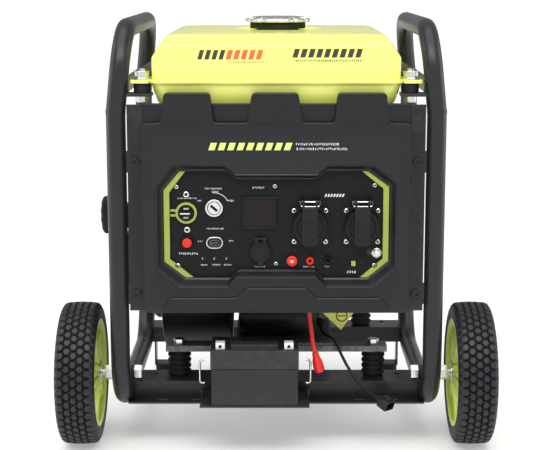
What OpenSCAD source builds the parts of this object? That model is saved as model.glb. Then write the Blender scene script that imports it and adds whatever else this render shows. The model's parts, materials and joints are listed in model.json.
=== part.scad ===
// Open-frame inverter generator on two wheels.
// Millimetres, +Z up, +X to the right of someone facing the control panel.
// The origin is on the ground under the middle of the machine's overall box.

/* [Frame] */
// Outer diameter of the frame tube
tube_d = 25.4; // [24:0.1:27]
// Distance between the two side loops, centre to centre
loop_gap = 412; // [408:1:416]
// Front upright to rear upright, centre to centre
loop_depth = 385; // [380:1:400]
// Height of the bottom tubes, at their centre
loop_bottom = 67; // [66:1:69]
// Height at which the uprights start to lean inwards
lean_from = 460; // [455:1:462]
// Inward lean of the upper uprights
lean = 6; // [5:0.5:7]
// Height of the top tubes, at their centre
loop_top = 565; // [563:1:567]
// Radius of the lower corners
bend_low = 70; // [66:1:72]
// Radius of the upper corners
bend_high = 55; // [52:1:58]
// Top of the pressed lower crossbars
bar_top = 86; // [85:1:87]
// Height of the pressed lower crossbars
bar_h = 24; // [22:1:26]

/* [Wheels] */
// Outer diameter of the tyre
tyre_d = 194; // [190:1:194]
// Width of the tyre
tyre_w = 53; // [48:1:54]
// Inner face of the tyre, from the middle of the machine
tyre_in = 239; // [238:1:242]
// Axle, behind the front upright
axle_back = 60; // [58:1:62]
// Radius of the axle bolt
axle_r = 6; // [5.8:0.1:6.2]
// Seat radius of the rim under the tyre
rim_r = 70; // [68:1:72]

/* [Fascia] */
// Width of the plastic front
fascia_w = 342; // [340:1:344]
// Bottom edge of the plastic front
fascia_low = 200; // [198:1:201]
// Height of its three upper teeth
fascia_high = 486; // [484:1:488]
// Bottom of the set-back panels between the teeth
notch_low = 448; // [444:1:450]
// Top of the set-back panels
notch_high = 472; // [470:1:474]

/* [Control panel] */
// Width of the panel opening
panel_w = 292; // [288:1:294]
// Top of the panel opening
panel_high = 385; // [383:1:387]
// Bottom of the panel opening
panel_low = 245; // [243:1:247]
// Radius of an AC socket's well
ac_r = 19.5; // [19.4:0.1:19.6]
// Radius of the 12 V socket's well
dc_r = 10.5; // [10.4:0.1:10.6]

/* [Tank] */
// Width of the tank body
tank_w = 320; // [316:1:322]
// Length of the tank body, front to back
tank_l = 375; // [370:1:378]
// Bottom of the tank
tank_low = 442; // [440:1:446]
// Seam between the tank halves
tank_seam = 499; // [498:1:500]
// Top of the tank
tank_high = 559; // [556:1:560]
// Sheet thickness of the tank
tank_t = 2; // [1.6:0.2:2.4]
// Radius of the filler neck, inside
neck_r = 24; // [23:1:25]
// Filler neck, behind the front upright
neck_y = 180; // [170:1:190]

/* [Engine] */
// Height of the crankshaft
crank_z = 233; // [231:1:235]
// Crankshaft, behind the front upright
crank_y = 205; // [203:1:207]
// Radius of the crankshaft
crank_r = 14; // [13:0.5:14]
// Outer radius of the fan housing
fan_r = 134; // [130:1:134]
// Underside of the engine's feet
engine_low = 123; // [122:1:124]

/* [Battery] */
// Width of the battery
battery_w = 114; // [110:1:116]
// Depth of the battery, front to back
battery_d = 70; // [66:1:71]
// Underside of the battery
battery_low = 74; // [73:1:75]
// Height of the battery without its terminals
battery_h = 76; // [74:1:78]

/* [Hidden] */
tube_r = tube_d / 2;
loop_x = loop_gap / 2;
axle_z = tyre_d / 2;
panel_y = -5;
panel_t = 3;
front_y = -20;
bar_low = bar_top - bar_h;
battery_x = -28.5;
battery_y = -20;
running = 0.06;
gap = 0.3;
sheet = 2.5;
// The front upright's place in the machine's overall box: the box runs from the
// front of the tyres to the back of the rear uprights.
front = -((axle_back - tyre_d / 2) + (loop_depth + tube_r)) / 2;
lime = [0.70, 0.84, 0.10];
trim_lime = [0.66, 0.79, 0.22];
frame_grey = [0.16, 0.17, 0.19];
fascia_grey = [0.19, 0.20, 0.22];
panel_grey = [0.12, 0.135, 0.15];
black = [0.06, 0.06, 0.065];
zinc = [0.78, 0.79, 0.80];
red = [0.85, 0.10, 0.07];

// ---- shared shapes ----

// Places children in the machine: y = 0 is then the front upright's centre plane.
module placed() translate([0, front, 0]) children();

// A bar along X from x0 to x1, round about y, z.
module rod_x(x0, x1, y, z, r)
  translate([x0, y, z]) rotate([0, 90, 0]) cylinder(h = x1 - x0, r = r, $fn = 64);

// A round bar along Y from y0 to y1.
module rod_y(y0, y1, x, z, r)
  translate([x, y1, z]) rotate([90, 0, 0]) cylinder(h = y1 - y0, r = r, $fn = 64);

// A round bar along Z from z0 to z1.
module rod_z(z0, z1, x, y, r)
  translate([x, y, z0]) cylinder(h = z1 - z0, r = r, $fn = 64);

// A block between two corners.
module block(a, b) translate(a) cube(b - a);

// An outline drawn in X and Z, from y0 back to y1.
module plate_y(y0, y1, pts)
  translate([0, y1, 0]) rotate([90, 0, 0]) linear_extrude(y1 - y0) polygon(pts);

// A hexagonal nut or head along Z.
module hex_z(z0, h, x, y, r) translate([x, y, z0]) cylinder(h = h, r = r, $fn = 6);

// A bent bar: each step is [straight length, turn angle, bend radius, roll before the turn].
// A turn with no radius is a welded joint with a small round bead.
module bent(steps, r, i = 0) {
  if (i < len(steps)) {
    s = steps[i];
    if (s[0] > 0) cylinder(h = s[0], r = r, $fn = 48);
    translate([0, 0, s[0]]) rotate([0, 0, s[3]]) {
      if (s[2] > 0)
        translate([s[2], 0, 0]) rotate([90, 0, 0]) rotate([0, 0, 180 - s[1]])
          rotate_extrude(angle = s[1], $fn = 96) translate([s[2], 0]) circle(r = r, $fn = 48);
      else if (s[1] > 0)
        sphere(r = r + 0.4, $fn = 48);
      translate([s[2], 0, 0]) rotate([0, s[1], 0]) translate([-s[2], 0, 0])
        bent(steps, r, i + 1);
    }
  }
}

module both_sides() {
  children();
  mirror([1, 0, 0]) children();
}

// A tube swept along points, as one polyhedron.
function unit(v) = v / norm(v);
function heading(p, i) =
  unit(p[min(i + 1, len(p) - 1)] - p[max(i - 1, 0)]);
function ring(c, d, r, n) =
  let (u = unit(cross(d, [0.3, 0.1, 1])), v = cross(d, u))
  [for (k = [0 : n - 1]) c + r * (cos(360 * k / n) * u + sin(360 * k / n) * v)];
module swept(p, r, n) {
  m = len(p);
  pts = [for (i = [0 : m - 1]) each ring(p[i], heading(p, i), r, n)];
  sides = [for (i = [0 : m - 2]) for (k = [0 : n - 1])
    let (a = i * n + k, b = i * n + (k + 1) % n) each [[a, b, b + n], [a, b + n, a + n]]];
  caps = [[for (k = [n - 1 : -1 : 0]) k], [for (k = [0 : n - 1]) (m - 1) * n + k]];
  polyhedron(pts, concat(sides, caps));
}

// ---- frame ----

low_side = loop_depth / 2 - bend_low;
upright = lean_from - loop_bottom - bend_low;
lean_run = (loop_top - lean_from) / cos(lean) - bend_high;
top_side = loop_depth - 2 * bend_high;

// The right-hand side loop's tube, one closed run from the middle of the bottom tube.
module loop_tube()
  translate([loop_x, loop_depth / 2, loop_bottom]) rotate([90, 0, 0]) rotate([0, 0, 90])
    bent([[low_side, 90, bend_low, 0], [upright, lean, 0, 90],
      [lean_run, 90, bend_high, -90], [top_side, 90, bend_high, 0],
      [lean_run, lean, 0, 90], [upright, 90, bend_low, -90], [low_side, 0, 0, 0]],
      tube_r);

// Plate that fills the lower front corner, and the sleeve that carries the axle bolt.
module axle_gusset() {
  difference() {
    intersection() {
      rod_x(loop_x - sheet, loop_x + sheet, bend_low, loop_bottom + bend_low, bend_low);
      plate_x(loop_x - 3, loop_x + 3,
        [[0, 60], [120, 60], [96, 78], [78, 112], [40, 132], [0, 132]]);
    }
    rod_x(loop_x - 4, loop_x + 4, axle_back, axle_z, axle_r + 0.2);
  }
  difference() {
    rod_x(loop_x - 12, loop_x + 12, axle_back, axle_z, axle_r + 4);
    rod_x(loop_x - 13, loop_x + 13, axle_back, axle_z, axle_r + 0.2);
  }
}

// An outline drawn in Y and Z, from x0 to x1.
module plate_x(x0, x1, pts)
  translate([x0, 0, 0]) rotate([90, 0, 90]) linear_extrude(x1 - x0) polygon(pts);

tab_z = [208, 382];
tab_h = 28;
tab_screw_x = 181.5;
module frame_tab(z) difference() {
  block([174, -3, z], [loop_x - 6, 0, z + tab_h]);
  rod_y(-4, 1, tab_screw_x, z + tab_h / 2, 2.7);
}

module side_loop() {
  color(frame_grey) {
    loop_tube();
    axle_gusset();
    for (z = tab_z) frame_tab(z);
  }
}
module frame_loop_right() placed() side_loop();
module frame_loop_left() placed() mirror([1, 0, 0]) side_loop();

bar_x = loop_x - 6;
web_y = 55;
bar_back = 110;
slot_x = [-154, -110, 113, 159];

module welded() difference() {
  children();
  both_sides() loop_tube();
}

mount_x = 134;
mount_y = [86, 370];

module lower_crossbar_front() placed() color(frame_grey) welded() difference() {
  plate_x(-bar_x, bar_x, [[28, bar_low], [web_y + 2.5, bar_low], [web_y + 2.5, bar_top - 2.5],
    [bar_back, bar_top - 2.5], [bar_back, bar_top], [web_y, bar_top],
    [web_y, bar_low + 2.5], [28, bar_low + 2.5]]);
  for (x = slot_x) block([x - 7, 37, bar_low - 1], [x + 7, 43, bar_low + 4]);
  for (x = [-mount_x, mount_x]) rod_z(bar_top - 4, bar_top + 1, x, mount_y[0], 4.5);
  for (x = [-168, 168]) rod_z(bar_top - 4, bar_top + 1, x, 92, 4);
}

foot_x = 181;
foot_y = 384;
rear_web = 350;
module lower_crossbar_rear() placed() color(frame_grey) {
  welded() difference() {
    plate_x(-bar_x, bar_x, [[rear_web, bar_low], [396, bar_low], [396, bar_low + 2.5],
      [rear_web + 2.5, bar_low + 2.5], [rear_web + 2.5, bar_top - 2.5], [396, bar_top - 2.5],
      [396, bar_top], [rear_web, bar_top]]);
    for (x = [-mount_x, mount_x]) rod_z(bar_top - 4, bar_top + 1, x, mount_y[1], 4.5);
    block([60, 376, bar_top - 4], [80, 386, bar_top + 1]);
    rod_z(bar_top - 4, bar_top + 1, 168, 384, 4);
  }
  both_sides() {
    block([foot_x - 13, foot_y - 13, 18], [foot_x + 13, foot_y + 12, 20.5]);
    block([foot_x - 13, foot_y - 13, 20.5], [foot_x - 10.5, foot_y + 12, bar_low]);
    block([foot_x + 10.5, foot_y - 13, 20.5], [foot_x + 13, foot_y + 12, bar_low]);
  }
}

module foot_pads() placed() color(black) both_sides() difference() {
  rod_z(0, 18, foot_x, foot_y, 12.5);
  rod_z(-1, 5, foot_x, foot_y, 5);
}

bracket_z = 480;
isolator_x = 172;
isolator_y = [8, loop_depth - 8];
// Four corner brackets under the tank, and the bar along each side of it.
module tank_supports() placed() color(frame_grey) welded() both_sides() {
  for (y = isolator_y) difference() {
    block([159, y - 14, bracket_z], [202, y + 14, bracket_z + 4]);
    rod_z(bracket_z - 1, bracket_z + 5, isolator_x, y, 4.3);
  }
  block([189.5, 6, 485], [194, loop_depth - 6, 504]);
}

// Ribbed bush between a crossbar and a foot of the engine.
module engine_bush(y) difference() {
  union() {
    rod_z(bar_top, engine_low, 0, y, 13.5);
    for (i = [0 : 3]) rod_z(bar_top + 4 + 8 * i, bar_top + 8 + 8 * i, 0, y, 16);
  }
  rod_z(bar_top - 1, bar_top + 12, 0, y, 4.1);
  rod_z(engine_low - 12, engine_low + 1, 0, y, 4.1);
}
// The grommets that the two free leads come out of.
red_exit = [44, 24, 196];
charge_exit = [62, 122, 150];
module rubber_mounts() placed() color(black) {
  for (x = [-mount_x, mount_x]) for (y = mount_y) translate([x, 0, 0]) engine_bush(y);
  both_sides() for (y = isolator_y) difference() {
    rod_z(bracket_z + 4, tank_seam - 2, isolator_x, y, 11);
    rod_z(bracket_z, tank_seam, isolator_x, y, 4.3);
  }
  rod_z(red_exit[2], lip_z, red_exit[0], red_exit[1], 5.5);
  rod_y(charge_exit[1], case_y0, charge_exit[0], charge_exit[2], 5);
}

module engine_mount_bolts() for (x = [-mount_x, mount_x]) for (y = mount_y) {
  rod_z(engine_low - 10, engine_low + 8, x, y, 4);
  hex_z(engine_low + 8, 7, x, y, 8);
  rod_z(bar_top - 2.5, bar_top + 10, x, y, 4);
  hex_z(bar_top - 9.5, 7, x, y, 8);
}
module tank_bolts() both_sides() for (y = isolator_y) {
  rod_z(bracket_z - 3, tank_seam + 16, isolator_x, y, 4);
  hex_z(bracket_z - 8, 8, isolator_x, y, 8);
  rod_z(tank_seam + 2, tank_seam + 4, isolator_x, y, 11);
  hex_z(tank_seam + 4, 9, isolator_x, y, 9.5);
}
module frame_bolts() placed() color(zinc) {
  both_sides() axle_bolt();
  engine_mount_bolts();
  tank_bolts();
}

// ---- wheels ----

hub_in = 236;
hub_out = 281;
module axle_bolt() {
  rod_x(184, hub_out + 1, axle_back, axle_z, axle_r);
  for (x = [184, 223.5]) translate([x, axle_back, axle_z]) rotate([0, 90, 0])
    cylinder(h = 10, r = 10.5, $fn = 6);
  translate([hub_out + 1, axle_back, axle_z]) rotate([0, 90, 0])
    cylinder(h = 7, r = 10.5, $fn = 6);
}

// Turns a profile drawn in [radius, distance from the machine's middle] about the axle.
module about_axle(pts) translate([0, axle_back, axle_z]) rotate([0, 90, 0])
  rotate_extrude($fn = 128) polygon(pts);

tyre_out = tyre_in + tyre_w;
tyre_r = tyre_d / 2;
module tyre() color(black) difference() {
  about_axle([[rim_r, tyre_in + 8], [rim_r + 8, tyre_in], [tyre_r - 12, tyre_in],
    [tyre_r - 2, tyre_in + 6], [tyre_r, tyre_in + 14], [tyre_r, tyre_out - 14],
    [tyre_r - 2, tyre_out - 6], [tyre_r - 12, tyre_out], [rim_r + 8, tyre_out],
    [rim_r, tyre_out - 8]]);
  for (x = [tyre_in + 17, tyre_out - 20])
    about_axle([[tyre_r - 4, x], [tyre_r + 2, x], [tyre_r + 2, x + 3], [tyre_r - 4, x + 3]]);
}

spoke_x = tyre_in + 12;
module rim() color(lime) {
  about_axle([[rim_r - 8, tyre_in + 9], [rim_r, tyre_in + 8], [rim_r, tyre_out - 8],
    [rim_r - 8, tyre_out - 9]]);
  difference() {
    about_axle([[15, spoke_x + 6], [rim_r - 8, spoke_x + 6], [rim_r - 8, spoke_x + 18],
      [15, spoke_x + 18]]);
    for (a = [0 : 72 : 288]) translate([0, axle_back, axle_z]) rotate([a, 0, 0])
      translate([0, 0, 42]) rotate([0, 90, 0]) cylinder(h = 400, r = 12, $fn = 48);
  }
  about_axle([[axle_r + running, hub_in], [17, hub_in], [20, spoke_x + 6],
    [20, hub_out - 6], [17, hub_out], [axle_r + running, hub_out]]);
  for (a = [36 : 72 : 324]) translate([0, axle_back, axle_z]) rotate([a, 0, 0])
    block([spoke_x - 4, -3, 18], [spoke_x + 6, 3, rim_r - 7]);
}
module tyre_right() placed() tyre();
module rim_right() placed() rim();
module tyre_left() placed() mirror([1, 0, 0]) tyre();
module rim_left() placed() mirror([1, 0, 0]) rim();

// ---- fascia ----

half = fascia_w / 2;
pw = panel_w / 2;
step_h = 11;
// Outline of the panel opening, clockwise from the upper left.
opening = [[-pw + 21, panel_high], [-64, panel_high], [-50, panel_high - step_h],
  [50, panel_high - step_h], [64, panel_high], [pw - 28, panel_high], [pw, panel_high - 20],
  [pw, panel_low + 22], [pw - 27, panel_low], [61, panel_low], [49, panel_low + step_h],
  [-49, panel_low + step_h], [-60, panel_low], [-pw + 28, panel_low], [-pw, panel_low + 21],
  [-pw, panel_high - 25]];
opening_mid = (panel_high + panel_low) / 2;
tooth = [[-143, -84], [-31, 28], [78, 140]];
wall = 3;
set_back = 10;
lip_z = fascia_low + 6;

module fascia() placed() color(fascia_grey) difference() {
  union() {
    plate_y(front_y, panel_y, [[-half, fascia_low + 6], [-half, notch_high],
      [half, notch_high], [half, fascia_low + 6], [half - 6, fascia_low],
      [-half + 6, fascia_low]]);
    for (t = tooth) plate_y(front_y, panel_y, [[t[0], notch_high - 1], [t[0] + 2, fascia_high],
      [t[1] - 2, fascia_high], [t[1], notch_high - 1]]);
    plate_y(front_y - 4, front_y, [[-half + 22, fascia_low + 4], [-half + 30, fascia_low + 16],
      [-134, fascia_low + 21], [-52, fascia_low + 21], [-38, fascia_low + 34],
      [38, fascia_low + 34], [52, fascia_low + 21], [134, fascia_low + 21],
      [half - 30, fascia_low + 16], [half - 22, fascia_low + 4]]);
    for (s = [-1, 1]) block([s * (half - wall / 2) - wall / 2, panel_y, fascia_low + 6],
      [s * (half - wall / 2) + wall / 2, 20, 470]);
    block([-half, panel_y, lip_z], [half, 12, lip_z + 3]);
    block([red_exit[0] - 9, panel_y, lip_z], [red_exit[0] + 9, red_exit[1] + 8, lip_z + 3]);
  }
  // set-back panels between and beside the teeth
  for (n = [[-half - 1, -tooth[2][1] - 3, 0, 4], [tooth[0][1], tooth[1][0], 4, 6],
      [tooth[1][1], tooth[2][0], 6, 4], [tooth[2][1], half + 1, 4, 0]])
    plate_y(front_y - 1, front_y + set_back, [[n[0], fascia_high + 1],
      [n[0] + n[2], notch_low], [n[1] - n[3], notch_low], [n[1], fascia_high + 1]]);
  // hollow behind the upper wall and inside the teeth
  block([-half + wall, front_y + set_back + 3, 404], [half - wall, panel_y + 1, notch_high - 4]);
  for (t = tooth) block([t[0] + 6, front_y + wall, 408],
    [t[1] - 6, front_y + set_back + 4, fascia_high - wall]);
  // well of the control panel, with a flared front edge
  translate([0, 0, opening_mid]) rotate([90, 0, 0]) translate([0, 0, -panel_y - 1])
    linear_extrude(18) translate([0, -opening_mid]) polygon(opening);
  translate([0, front_y + 9, opening_mid]) rotate([90, 0, 0])
    linear_extrude(height = 10, scale = [1.07, 1.15]) translate([0, -opening_mid])
      polygon(opening);
}

module fascia_bracket() difference() {
  union() {
    block([half + 0.5, -6, 200], [half + 20.5, -3, 470]);
    block([half, -3, 214], [half + 2.5, 20, 460]);
  }
  for (z = tab_z) rod_y(-7, -2, tab_screw_x, z + tab_h / 2, 2.7);
}
module fascia_brackets() placed() color(black) both_sides() fascia_bracket();

module fascia_screws() both_sides() for (z = tab_z) {
  rod_y(-6, 4, tab_screw_x, z + tab_h / 2, 2.5);
  difference() {
    rod_y(-9, -6, tab_screw_x, z + tab_h / 2, 5.5);
    for (a = [0, 90]) translate([tab_screw_x, -9, z + tab_h / 2]) rotate([0, a, 0])
      cube([1.2, 3, 6], center = true);
  }
}

// ---- control panel ----

knob_at = [-116.5, 330];
button_at = [-116, 290.5];
key_at = [-80.5, 336.5];
rocker_at = [-80.2, 290.5];
lamp_at = [[-95, 271], [-79.7, 271], [-64, 271]];
display_at = [-21.7, 330];
dc_at = [-20.5, 278.5];
ac_at = [[43.5, 312.8], [111, 312.8]];
breaker_at = [20.4, 267];
parallel_at = [[43.8, 267], [67.2, 268]];
ground_at = [130.5, 277];
panel_screw_at = [[-129, 364], [-128, 260.5], [-1.7, 365], [-0.5, 262.5], [127, 366], [127.5, 261]];
clamp_screw_at = [[-116.5, 354], [-115.7, 307.5]];
ac_screw = 20.4;
key_r = 9;
display_w = 46;
display_h = 43;

module holes(y0, y1) {
  for (p = panel_screw_at) rod_y(y0, y1, p[0], p[1], 1.9);
  for (p = clamp_screw_at) rod_y(y0, y1, p[0], p[1], 1.9);
  for (p = ac_at) for (i = [-1, 1]) for (j = [-1, 1])
    rod_y(y0, y1, p[0] + i * ac_screw, p[1] + j * ac_screw, 1.9);
}

module control_panel() placed() color(panel_grey) difference() {
  translate([0, panel_y + panel_t, 0]) rotate([90, 0, 0]) linear_extrude(panel_t)
    polygon([[-pw - 8, panel_high + 6], [pw + 8, panel_high + 6], [pw + 8, panel_low - 6],
      [-pw - 8, panel_low - 6]]);
  holes(panel_y - 1, 0);
  rod_y(panel_y - 1, 0, knob_at[0], knob_at[1], 6 + gap);
  rod_y(panel_y - 1, 0, button_at[0], button_at[1], 7.5 + gap);
  rod_y(panel_y - 1, 0, key_at[0], key_at[1], key_r + 1 + gap);
  block([rocker_at[0] - 9, panel_y - 1, rocker_at[1] - 6], [rocker_at[0] + 9, 0, rocker_at[1] + 6]);
  for (p = lamp_at) rod_y(panel_y - 1, 0, p[0], p[1], 2.2 + gap);
  block([display_at[0] - 21, panel_y - 1, display_at[1] - 19.5],
    [display_at[0] + 21, 0, display_at[1] + 19.5]);
  rod_y(panel_y - 1, 0, dc_at[0], dc_at[1], dc_r + 2 + gap);
  for (p = ac_at) rod_y(panel_y - 1, 0, p[0], p[1], ac_r + 2 + gap);
  rod_y(panel_y - 1, 0, breaker_at[0], breaker_at[1], 5.5 + gap);
  for (p = parallel_at) rod_y(panel_y - 1, 0, p[0], p[1], 3.8 + gap);
  rod_y(panel_y - 1, 0, ground_at[0], ground_at[1], 3 + gap);
}

// Lime strip that follows one side of the opening.
module trim_right() plate_y(panel_y - 5, panel_y, [[pw - 36, panel_high], [pw - 28.5, panel_high],
  [pw - 0.5, panel_high - 20.2], [pw - 0.5, panel_low + 22.2], [pw - 27.2, panel_low + 0.2],
  [pw - 37, panel_low + 0.2], [pw - 8, panel_low + 25], [pw - 8, panel_high - 23]]);
module trim_left() plate_y(panel_y - 5, panel_y, [[-pw + 29, panel_high], [-pw + 21.5, panel_high],
  [-pw + 0.5, panel_high - 25.2], [-pw + 0.5, panel_low + 21.2], [-pw + 28.2, panel_low + 0.2],
  [-pw + 38, panel_low + 0.2], [-pw + 8, panel_low + 24], [-pw + 8, panel_high - 28]]);
module panel_trim() placed() color(trim_lime) difference() {
  union() {
    trim_right();
    trim_left();
  }
  for (p = panel_screw_at) rod_y(panel_y - 6, panel_y + 1, p[0], p[1], 3.4);
}

module screw_y(p, head_r, y) {
  difference() {
    rod_y(y - 2.2, y, p[0], p[1], head_r);
    translate([p[0], y - 2.4, p[1]]) rotate([0, 45, 0]) cube([1, 2, 2 * head_r - 2], center = true);
    translate([p[0], y - 2.4, p[1]]) rotate([0, -45, 0]) cube([1, 2, 2 * head_r - 2], center = true);
  }
  rod_y(y, y + 8, p[0], p[1], 1.8);
}
module front_screws() placed() color(zinc) {
  fascia_screws();
  for (p = panel_screw_at) screw_y(p, 3, panel_y);
  for (p = clamp_screw_at) screw_y(p, 4.2, panel_y);
  for (p = ac_at) for (i = [-1, 1]) for (j = [-1, 1])
    screw_y([p[0] + i * ac_screw, p[1] + j * ac_screw], 3.4, panel_y - 2.5);
}

module display() placed() color(black) difference() {
  union() {
    block([display_at[0] - display_w / 2, panel_y - 3, display_at[1] - display_h / 2],
      [display_at[0] + display_w / 2, panel_y, display_at[1] + display_h / 2]);
    block([display_at[0] - 20.5, panel_y, display_at[1] - 19],
      [display_at[0] + 20.5, 14, display_at[1] + 19]);
  }
  block([display_at[0] - 20, panel_y - 4, display_at[1] - 18],
    [display_at[0] + 20, panel_y - 1.5, display_at[1] + 18]);
}
module display_window() placed() color([0.02, 0.02, 0.03])
  block([display_at[0] - 19.8, panel_y - 2.7, display_at[1] - 17.8],
    [display_at[0] + 19.8, panel_y - 1.5, display_at[1] + 17.8]);

module key_switch() placed() color(zinc) difference() {
  union() {
    rod_y(panel_y - 5, panel_y, key_at[0], key_at[1], 11.4);
    rod_y(panel_y, 22, key_at[0], key_at[1], key_r + 1);
  }
  rod_y(panel_y - 6, 18, key_at[0], key_at[1], key_r - 1 + 2 * running);
}
module key_rotor() placed() color(zinc) difference() {
  rod_y(panel_y - 5.6, 17, key_at[0], key_at[1], key_r - 1);
  translate([key_at[0], panel_y - 5, key_at[1]]) rotate([0, 40, 0])
    cube([9.5, 16, 3.4], center = true);
}

module selector_ring() placed() color(trim_lime) {
  difference() {
    rod_y(panel_y - 4, panel_y, knob_at[0], knob_at[1], 13.8);
    rod_y(panel_y - 5, panel_y + 1, knob_at[0], knob_at[1], 10.8);
  }
  for (s = [-1, 1]) block([knob_at[0] - 20.5, panel_y - 3, knob_at[1] + s * 3.2 - 1.4],
    [knob_at[0] - 12.5, panel_y, knob_at[1] + s * 3.2 + 1.4]);
}
module selector_knob() placed() color(black) {
  rod_y(panel_y - 5, panel_y - 0.4, knob_at[0], knob_at[1], 10.3);
  block([knob_at[0] - 9, panel_y - 9, knob_at[1] - 2.2], [knob_at[0] + 9, panel_y - 5, knob_at[1] + 2.2]);
  rod_y(panel_y - 0.4, 14, knob_at[0], knob_at[1], 6);
}

module start_button() placed() color(red) {
  rod_y(panel_y - 6, panel_y - 3, button_at[0], button_at[1], 6.4);
  rod_y(panel_y - 3, 8, button_at[0], button_at[1], 6.4);
}

module stadium(w, h) hull() for (s = [-1, 1])
  translate([s * (w - h) / 2, 0]) circle(d = h, $fn = 40);
module rocker_bezel() placed() color(zinc)
  translate([rocker_at[0], panel_y, rocker_at[1]]) rotate([90, 0, 0]) linear_extrude(2.4)
    difference() {
      stadium(22, 15.5);
      stadium(18.4, 12);
    }
module eco_rocker() placed() color(black)
  translate([rocker_at[0], 0, rocker_at[1]]) {
    translate([0, panel_y - 0.2, 0]) rotate([90, 0, 0]) linear_extrude(4) stadium(17, 11);
    block([-6, panel_y - 0.2, -4.5], [6, 6, 4.5]);
    rod_z(-5.9, 5.9, 0, panel_y - 1.2, 1);
  }

module indicator_lamps() placed() color([0.75, 0.75, 0.7]) for (p = lamp_at) {
  rod_y(panel_y - 1.6, panel_y, p[0], p[1], 2.9);
  rod_y(panel_y, 6, p[0], p[1], 2.2);
}

module dc_socket() placed() color(black) difference() {
  union() {
    rod_y(panel_y - 3, panel_y, dc_at[0], dc_at[1], 15);
    rod_y(panel_y, 24, dc_at[0], dc_at[1], dc_r + 2);
  }
  rod_y(panel_y - 4, 22, dc_at[0], dc_at[1], dc_r);
}
dc_hinge = [-20.5, -10, 295.5];
module dc_cap() placed() color(black) {
  rod_y(panel_y - 7, panel_y - 3.4, dc_at[0], dc_at[1], 12.6);
  for (s = [-1, 1]) block([dc_at[0] + s * 5 - 2, panel_y - 6.5, dc_at[1] + 11],
    [dc_at[0] + s * 5 + 2, panel_y - 3.6, dc_hinge[2] + 1]);
  rod_x(dc_at[0] - 8, dc_at[0] + 8, dc_hinge[1] + 0.2, dc_hinge[2] + 1, 1.5);
  block([dc_at[0] - 3.5, panel_y - 7, dc_at[1] - 17], [dc_at[0] + 3.5, panel_y - 4, dc_at[1] - 11]);
}

cover_axis_y = -17;
cover_axis_z = 346;
pin_r = 1.2;
module ac_outlet(p) {
  difference() {
    union() {
      block([p[0] - 25, panel_y - 2.5, p[1] - 25], [p[0] + 25, panel_y, p[1] + 25]);
      rod_y(panel_y - 9, panel_y - 2.5, p[0], p[1], 23.5);
      rod_y(panel_y, 20, p[0], p[1], ac_r + 2);
    }
    rod_y(panel_y - 10, 8, p[0], p[1], ac_r);
    for (s = [-1, 1]) rod_y(7, 17, p[0] + s * 9.5, p[1], 2.5);
    for (i = [-1, 1]) for (j = [-1, 1])
      rod_y(panel_y - 4, 1, p[0] + i * ac_screw, p[1] + j * ac_screw, 1.9);
  }
  for (s = [-1, 1]) difference() {
    block([p[0] + s * 11.5 - 1.2, cover_axis_y - 3, p[1] + 25],
      [p[0] + s * 11.5 + 1.2, panel_y, cover_axis_z + 3]);
    rod_x(p[0] - 20, p[0] + 20, cover_axis_y, cover_axis_z, pin_r + running);
  }
}
module ac_outlets() placed() color(black) for (p = ac_at) ac_outlet(p);
// Round lid with a raised strap, its two knuckles and the pin they turn on.
module outlet_cover(p) {
  rod_y(panel_y - 12.5, panel_y - 9.4, p[0], p[1], 22.5);
  plate_y(panel_y - 16, panel_y - 12.5, [[p[0] - 10.5, p[1] - 21], [p[0] - 7, p[1] - 24.5],
    [p[0] + 7, p[1] - 24.5], [p[0] + 10.5, p[1] - 21], [p[0] + 10, p[1] + 30],
    [p[0] - 10, p[1] + 30]]);
  for (s = [-1, 1]) {
    block([p[0] + s * 8.4 - 1.6, panel_y - 15.5, p[1] + 20],
      [p[0] + s * 8.4 + 1.6, panel_y - 10, cover_axis_z]);
    rod_x(p[0] + s * 8.4 - 1.6, p[0] + s * 8.4 + 1.6, cover_axis_y, cover_axis_z, 2.8);
  }
  rod_x(p[0] - 13.5, p[0] + 13.5, cover_axis_y, cover_axis_z, pin_r);
}
module outlet_cover_left() placed() color(black) outlet_cover(ac_at[0]);
module outlet_cover_right() placed() color(black) outlet_cover(ac_at[1]);

module breaker_button() placed() color(red) {
  rod_y(panel_y - 8, panel_y - 4, breaker_at[0], breaker_at[1], 7);
  rod_y(panel_y - 4, 8, breaker_at[0], breaker_at[1], 5.5);
}
module parallel_sockets() placed() for (i = [0, 1]) color(i == 0 ? red : black) difference() {
  union() {
    rod_y(panel_y - 6, panel_y, parallel_at[i][0], parallel_at[i][1], 5);
    rod_y(panel_y, 14, parallel_at[i][0], parallel_at[i][1], 3.8);
  }
  rod_y(panel_y - 7, 10, parallel_at[i][0], parallel_at[i][1], 2);
}
module ground_terminal() placed() color(zinc) {
  rod_y(panel_y - 14, 10, ground_at[0], ground_at[1], 3);
  translate([ground_at[0], panel_y, ground_at[1]]) rotate([90, 0, 0]) {
    cylinder(h = 1.5, r = 6.6, $fn = 64);
    translate([0, 0, 1.5]) cylinder(h = 5, r = 6, $fn = 6);
  }
}

module inverter_module() placed() color([0.62, 0.63, 0.64]) {
  block([-122, 27, 232], [122, 46, 372]);
  for (i = [0 : 16]) translate([-120 + 15 * i - 1.5 * (i > 7 ? 1 : 0), 46, 236]) cube([2.5, 15, 132]);
}

// ---- tank ----

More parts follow.
